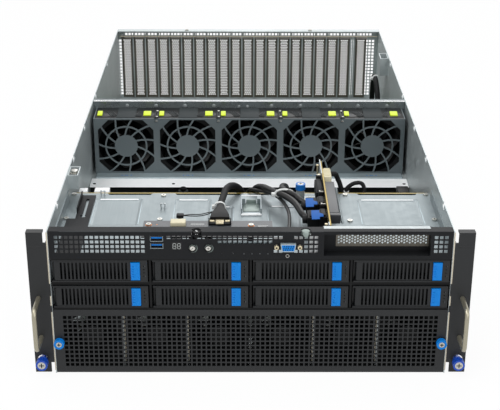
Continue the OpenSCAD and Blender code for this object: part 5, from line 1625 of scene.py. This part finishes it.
@dataclass
class Riser:
    """The riser's card: its slot socket's cap, clips, chips, contacts and the cream power socket.

    Args:
        face: where the card's cable side is.
        thick: the card's thickness.
        sockets: near and far end of each socket on the cable side.
        clip_ys: where each clip between the sockets begins.
        screw_ys: where the bracket's screws are.
    """

    face: float = 86.4
    thick: float = 1.6
    sockets: Tuple[Span, ...] = ((58.0, 80.0), (94.0, 116.0), (128.0, 168.0))
    clip_ys: Tuple[float, ...] = (84.5, 120.5, 170.5)
    screw_ys: Tuple[float, ...] = (33.0, 176.0, 206.0)

    def make(self) -> None:
        """Makes the riser's pieces."""
        self.slot_side()
        self.cable_side()
        self.chips()

    def slot_side(self) -> None:
        """Makes the long slot socket's satin cap and groove, and the cream power socket with its ribs."""
        right = self.face + self.thick
        cap = Stock().block((right, 62.6, 161.8), (right + 11.3, 152.4, 170.3), 0.6, 3)
        cap.block((right, 56.5, 159.0), (right + 12.6, 62.6, 170.0), 0.8, 3)
        cap.done("riser_socket_cap", Shop.socket_satin, Slot.RISER_BOARD)
        groove = Stock().block((right + 11.2, 66.0, 165.2), (right + 11.5, 149.0, 167.0), 0)
        groove.done("riser_socket_groove", Shop.black_nylon, Slot.RISER_BOARD)
        shell = Stock().block((right, 162.6, 159.6), (right + 9.4, 188.4, 172.4), 1.0, 3)
        shell.done("riser_power_socket", Shop.cream_nylon, Slot.RISER_BOARD)
        ribs = Stock().block((right + 1.0, 165.4, 172.2), (right + 8.4, 166.8, 173.2), 0.3)
        ribs.row((0, 4.2, 0), 6)
        ribs.done("riser_power_socket_ribs", Shop.cream_nylon, Slot.RISER_BOARD)

    def cable_side(self) -> None:
        """Makes the dark sockets on the card's cable side, with their small bright latches and screws."""
        x = self.face
        blocks, latches, screws = Stock(), Stock(), Stock()
        for near, far in self.sockets:
            blocks.block((x - 9.3, near - 0.3, 151.7), (x - 0.1, far + 0.3, 166.5), 0.6)
            blocks.block((x - 7.6, near + 2.0, 166.3), (x - 2.2, far - 2.0, 168.4), 0.5)
            for k in range(3):
                at = near + (far - near) * (0.2 + 0.3 * k)
                blocks.block((x - 9.8, at - 1.2, 160.0), (x - 9.0, at + 1.2, 166.0), 0.2)
        for y in self.clip_ys:
            blocks.block((x - 7.2, y, 152.0), (x - 0.4, y + 5.0, 169.4), 0.6)
            latches.block((x - 6.4, y + 0.6, 169.2), (x - 1.2, y + 1.8, 171.0), 0.3)
            latches.block((x - 6.6, y + 3.2, 169.2), (x - 4.6, y + 4.6, 170.6), 0.3)
        for y in self.screw_ys:
            screws.rod((x - 3.4, y, 168.6), 2.0, 1.6, Axis.Z, 0.6, 24)
            screws.rod((x - 3.4, y, 158.0), 1.1, 10.8, Axis.Z, 0.2, 16)
        blocks.done("riser_cable_sockets", Shop.black_nylon, Slot.RISER_BOARD)
        latches.done("riser_socket_latches", Shop.nickel, Slot.GALVANISED_STEEL)
        screws.done("riser_bracket_screws", Shop.cream_metal, Slot.NICKEL_SCREW)

    def chips(self) -> None:
        """Makes the small parts soldered on the card's far end, every other one taller."""
        parts = Stock()
        for k in range(5):
            y = 174.0 + k * 6.0
            parts.block((self.face - 1.2, y, 154.0), (self.face + 0.1, y + 3.4, 158.0 + (k % 2) * 3), 0.2)
        parts.done("riser_chips", Shop.black_nylon, Slot.RISER_BOARD)


@dataclass
class Ears:
    """The rack ears and every knob: the nickel face of each captive screw and the rim of each fixing slot.

    Args:
        ear_knob: middle of the right ear's knob, at its front.
        grille_knob: middle of the grille's right-hand knob, at its front.
        riser_knob: middle of the riser's knob, at its top.
        ear_screw: radius of the ears' screws.
        grille_screw: radius of the grille's screws.
    """

    ear_knob: Point = (232.4, -12.0, 16.5)
    grille_knob: Point = (212.5, -6.6, 40.0)
    riser_knob: Point = (60.5, 164.0, 162.5)
    ear_screw: float = 4.6
    grille_screw: float = 3.3

    def make(self) -> None:
        """Makes the ears' pieces."""
        self.screw_faces("ear_knob", self.ear_knob, self.ear_screw, CHASSIS)
        self.screw_faces("grille_knob", self.grille_knob, self.grille_screw, "grille")
        self.riser_screw()
        rims = Stock().band((-self.ear_knob[0], -0.2, self.ear_knob[2] + 2.0), 5.3, (0.8, 0.5), Axis.Y, 40)
        rims.mirrored().done("ear_slot_rims", Shop.nickel, Slot.NICKEL_SCREW)
        crease = Stock().block((-241.2, -0.35, 157.2), (-224.0, 0.4, 158.6), 0.33, 3)
        crease.mirrored().done("ear_creases", Shop.black_coat, Slot.BLACK_PAINT)

    def screw_faces(self, name: str, at: Point, radius: float, body: str) -> None:
        """Makes the domed nickel ends of a pair of screws in their knobs, with their cross recesses.

        Args:
            name: the knob's name.
            at: the middle of the right-hand knob's front.
            radius: the screw's radius.
            body: the body that carries the pair.
        """
        arm = radius * 0.62
        faces, slots = Stock(), Stock()
        for side in (-1, 1):
            x, y, z = side * at[0], at[1], at[2]
            faces.rod((x, y - 0.15, z), radius, 1.2, Axis.Y, 0.5, 36)
            slots.block((x - arm, y - 0.3, z - 0.55), (x + arm, y + 0.1, z + 0.55), 0.1, 1)
            slots.block((x - 0.55, y - 0.3, z - arm), (x + 0.55, y + 0.1, z + arm), 0.1, 1)
        faces.done(f"{name}_faces", Shop.nickel, Slot.NICKEL_SCREW, body)
        slots.done(f"{name}_crosses", Shop.black_nylon, Slot.BLACK_PLASTIC, body)

    def riser_screw(self) -> None:
        """Makes the nickel end of the riser's screw and the bright collar under its knob."""
        x, y, z = self.riser_knob
        face = Stock().rod((x, y, z - 0.9), 3.7, 1.2, Axis.Z, 0.5, 36)
        face.rod((x, y, z - 11.0), 4.6, 3.4, Axis.Z, 0.3, 36)
        face.done("riser_knob_face", Shop.nickel, Slot.NICKEL_SCREW)
        cross = Stock().block((x - 2.2, y - 0.45, z + 0.2), (x + 2.2, y + 0.45, z + 0.45), 0.1, 1)
        cross.block((x - 0.45, y - 2.2, z + 0.2), (x + 0.45, y + 2.2, z + 0.45), 0.1, 1)
        cross.done("riser_knob_cross", Shop.black_nylon, Slot.BLACK_PLASTIC)


@dataclass
class RearBay:
    """The expansion bay: the pale sawn edge over the covers, their ribs and hooks, and the rear lead's tie.

    Args:
        slots: how many slots it has.
        pitch: distance between two slots.
        first: middle of the first slot.
        last_gap: how much further off the last slot stands.
    """

    slots: int = 20
    pitch: float = 20.32
    first: float = -204.06
    last_gap: float = 7.5

    def slot_x(self, number: int) -> float:
        """Gives the middle of one slot, where the last one stands further off."""
        return self.first + number * self.pitch + (self.last_gap if number == self.slots - 1 else 0)

    def make(self) -> None:
        """Makes the bay's pieces."""
        lip = Stock().block((-216.0, 788.0, 166.2), (216.0, 790.4, 167.4), 0.4)
        lip.done("slot_cover_lip", Shop.cut_edge, Slot.SLOT_COVER_STEEL)
        middles = [self.slot_x(k) for k in range(self.slots)]
        ribs, hooks = Stock(), Stock()
        for left, right in zip(middles, middles[1:]):
            x = (left + right) / 2
            ribs.block((x - 1.1, 796.0, 58.0), (x + 1.1, 798.2, 165.0), 0.7, 3)
        ribs.done("slot_window_ribs", Shop.wall_sheet, Slot.GALVANISED_STEEL)
        for x in middles:
            hooks.block((x - 9.4, 791.5, 166.8), (x - 6.6, 796.5, 170.6), 0.5)
        hooks.done("slot_cover_hooks", Shop.bright_sheet, Slot.SLOT_COVER_STEEL)
        tie = Stock().band((198.6, 636.0, 143.2), 4.3, (1.0, 3.4), Axis.Y, 36)
        tie.block((191.0, 633.6, 140.8), (195.4, 638.6, 145.4), 0.8)
        tie.done("rear_lead_tie", Shop.white_nylon, Slot.CABLE_BLACK)


@dataclass
class DriveBays:
    """The drive trays' small trim: the light pipes of their end caps and a strip of painted shade on the side
    of each tab.

    Args:
        columns: how many trays stand side by side.
        rows: how many rows they make.
        pitch: distance between two columns and between two rows.
        first_z: height of the lower row's bottom edge.
        height: height of a tray.
    """

    columns: int = 4
    rows: int = 2
    pitch: Span = (109.3, 31.5)
    first_z: float = 83.6
    height: float = 26.4

    def make(self) -> None:
        """Makes the trim of each tray."""
        for k in range(self.rows * self.columns):
            number = k + 1
            row, column = divmod(k, self.columns)
            x = (column - (self.columns - 1) / 2) * self.pitch[0]
            z = self.first_z + row * self.pitch[1]
            pipes = Stock()
            for drop in (-6, 6):
                pipes.rod((x + 49.2, -0.05, z + self.height / 2 + drop), 0.6, 1.5, Axis.Y, 0.15, 14)
            pipes.done(f"tray_light_pipes_{number}", Shop.clear_acrylic, Slot.TRAY_PLASTIC, f"tray_{number}")
            edge = Stock().block((x + 33.9, -1.12, z + 3.2), (x + 34.5, -0.7, z + self.height - 3.2), 0.15)
            edge.done(f"tab_painted_shade_{number}", Shop.azure_painted_shade, Slot.AZURE_PLASTIC, f"tab_{number}")


# ---------------------------------------------------------------- studio


@dataclass(frozen=True)
class Softbox:
    """One square lamp of the studio.

    Args:
        name: its name.
        at: its place in metres.
        aim: the point that it faces, in metres.
        size: the side of its face in metres.
        power: its power in watts.
    """

    name: str
    at: Point
    aim: Point
    size: float
    power: float

    def hang(self) -> None:
        """Makes the lamp and turns it to its aim."""
        data = bpy.data.lights.new(self.name, "AREA")
        data.size = self.size
        data.energy = self.power
        lamp = put(self.name, data)
        lamp.location = self.at
        lamp.rotation_euler = (Vector(self.aim) - Vector(self.at)).to_track_quat("-Z", "Y").to_euler()


@dataclass
class Studio:
    """The plain pale floor, the soft lamps and the camera.

    Args:
        camera_at: the camera's place in millimetres of the drawing.
        camera_tilt: degrees from looking straight down.
        camera_turn: degrees that the view turns to the left.
        camera_roll: degrees that the camera leans about its own line of sight.
        lens: focal length in millimetres.
        sensor: width of the camera's sensor in millimetres.
        floor_side: side of the floor in metres.
        floor_drop: how far the floor lies under the feet, in metres, so that no two faces share a plane.
        ambient: strength of the room's even light.
        floor_glow: share of plain white in what the eye sees of the floor; the rest takes the shadow.
        lamps: the softboxes.
    """

    camera_at: Point = (-7.7, -1160.8, 719.7)
    camera_tilt: float = 66.17
    camera_turn: float = -0.33
    camera_roll: float = 0.18
    lens: float = 86.34
    sensor: float = 36.0
    floor_side: float = 40.0
    floor_drop: float = 0.0005
    ambient: float = 0.55
    floor_glow: float = 0.93
    lamps: Tuple[Softbox, ...] = (
        Softbox("key_softbox", (-0.9, -0.9, 2.6), (0.0, 0.1, 0.1), 2.2, 46.0),
        Softbox("fill_softbox", (1.4, -2.2, 1.5), (0.0, -0.2, 0.1), 2.0, 26.0),
        Softbox("rear_softbox", (0.4, 2.4, 2.0), (0.0, 0.2, 0.1), 2.0, 22.0))

    def build(self) -> None:
        """Makes the camera, the lamps, the world and the floor."""
        self.add_camera()
        self.add_world()
        self.add_floor()
        for lamp in self.lamps:
            lamp.hang()
        bpy.context.scene.view_settings.view_transform = "Standard"

    def add_camera(self) -> None:
        """Places the camera at the product view."""
        data = bpy.data.cameras.new("camera")
        data.lens = self.lens
        data.sensor_width = self.sensor
        data.clip_end = 100.0
        camera = put("camera", data)
        turn = (Matrix.Rotation(math.radians(self.camera_turn), 4, "Z")
                @ Matrix.Rotation(math.radians(self.camera_tilt), 4, "X")
                @ Matrix.Rotation(math.radians(self.camera_roll), 4, "Z"))
        camera.matrix_world = Matrix.Translation(place(*self.camera_at)) @ turn
        bpy.context.scene.camera = camera

    def add_world(self) -> None:
        """Lights the room evenly, and shows white where the room itself is seen or mirrored."""
        world = bpy.data.worlds.new("studio")
        bpy.context.scene.world = world
        world.use_nodes = True
        tree = world.node_tree
        tree.nodes.clear()
        room = add_node(tree, "Background", {"Color": hex_linear("#EEF2F5"), "Strength": self.ambient})
        white = add_node(tree, "Background", {"Color": WHITE, "Strength": 1.0})
        mix = add_node(tree, "MixShader",
                       {0: self.seen_white(tree).outputs[0], 1: room.outputs[0], 2: white.outputs[0]})
        add_node(tree, "OutputWorld", {"Surface": mix.outputs[0]})

    def seen_white(self, tree: Tree) -> Node:
        """Adds the test for a ray that shows the background straight, mirrored or through glass.

        Args:
            tree: the node tree of the world or of the floor.

        Returns:
            The node whose output is 1 for such a ray.
        """
        ray = add_node(tree, "LightPath")
        direct = add_node(tree, "Math", {0: ray.outputs["Is Camera Ray"], 1: ray.outputs["Is Glossy Ray"]},
                          operation="MAXIMUM")
        return add_node(tree, "Math", {0: direct.outputs[0], 1: ray.outputs["Is Transmission Ray"]},
                        operation="MAXIMUM")

    def add_floor(self) -> None:
        """Lays the pale floor, which shows near white and keeps the object's shadow."""
        mesh = bpy.data.meshes.new("floor")
        build = bmesh.new()
        bmesh.ops.create_grid(build, x_segments=1, y_segments=1, size=self.floor_side / 2)
        build.to_mesh(mesh)
        build.free()
        floor = put("floor", mesh)
        material, tree = blank_material("studio_floor")
        matt = add_node(tree, "BsdfDiffuse", {"Color": hex_linear("#F4F4F4")})
        glow = add_node(tree, "Emission", {"Color": WHITE, "Strength": 1.0})
        share = add_node(tree, "Math", {0: self.seen_white(tree).outputs[0], 1: self.floor_glow},
                         operation="MULTIPLY")
        mix = add_node(tree, "MixShader", {0: share.outputs[0], 1: matt.outputs[0], 2: glow.outputs[0]})
        add_node(tree, "OutputMaterial", {"Surface": mix.outputs[0]})
        mesh.materials.append(material)
        floor.location = (0.0, 0.0, CAD_BOX[0][2] - self.floor_drop)


def main() -> None:
    """Builds the whole scene in order."""
    logging.basicConfig(level=logging.INFO)
    Studio().build()
    dress_nodes()
    wall, panel = FanWall(), FrontPanel()
    fans = RotorRow("fan_rotor", wall.count, wall.pitch, front=387.2, height=wall.axle, hub=15.5, tip=37.0,
                    depth=31.0)
    front_fans = RotorRow("front_fan_rotor", 6, panel.fan_pitch, front=17.0, height=38.2, hub=12.7, tip=30.0,
                          depth=38.0)
    for assembly in (wall, panel, SleevedPlug(), Harness(), Deck(), Riser(), Ears(), RearBay(), DriveBays(),
                     fans, front_fans):
        assembly.make()


if __name__ == "__main__":
    main()
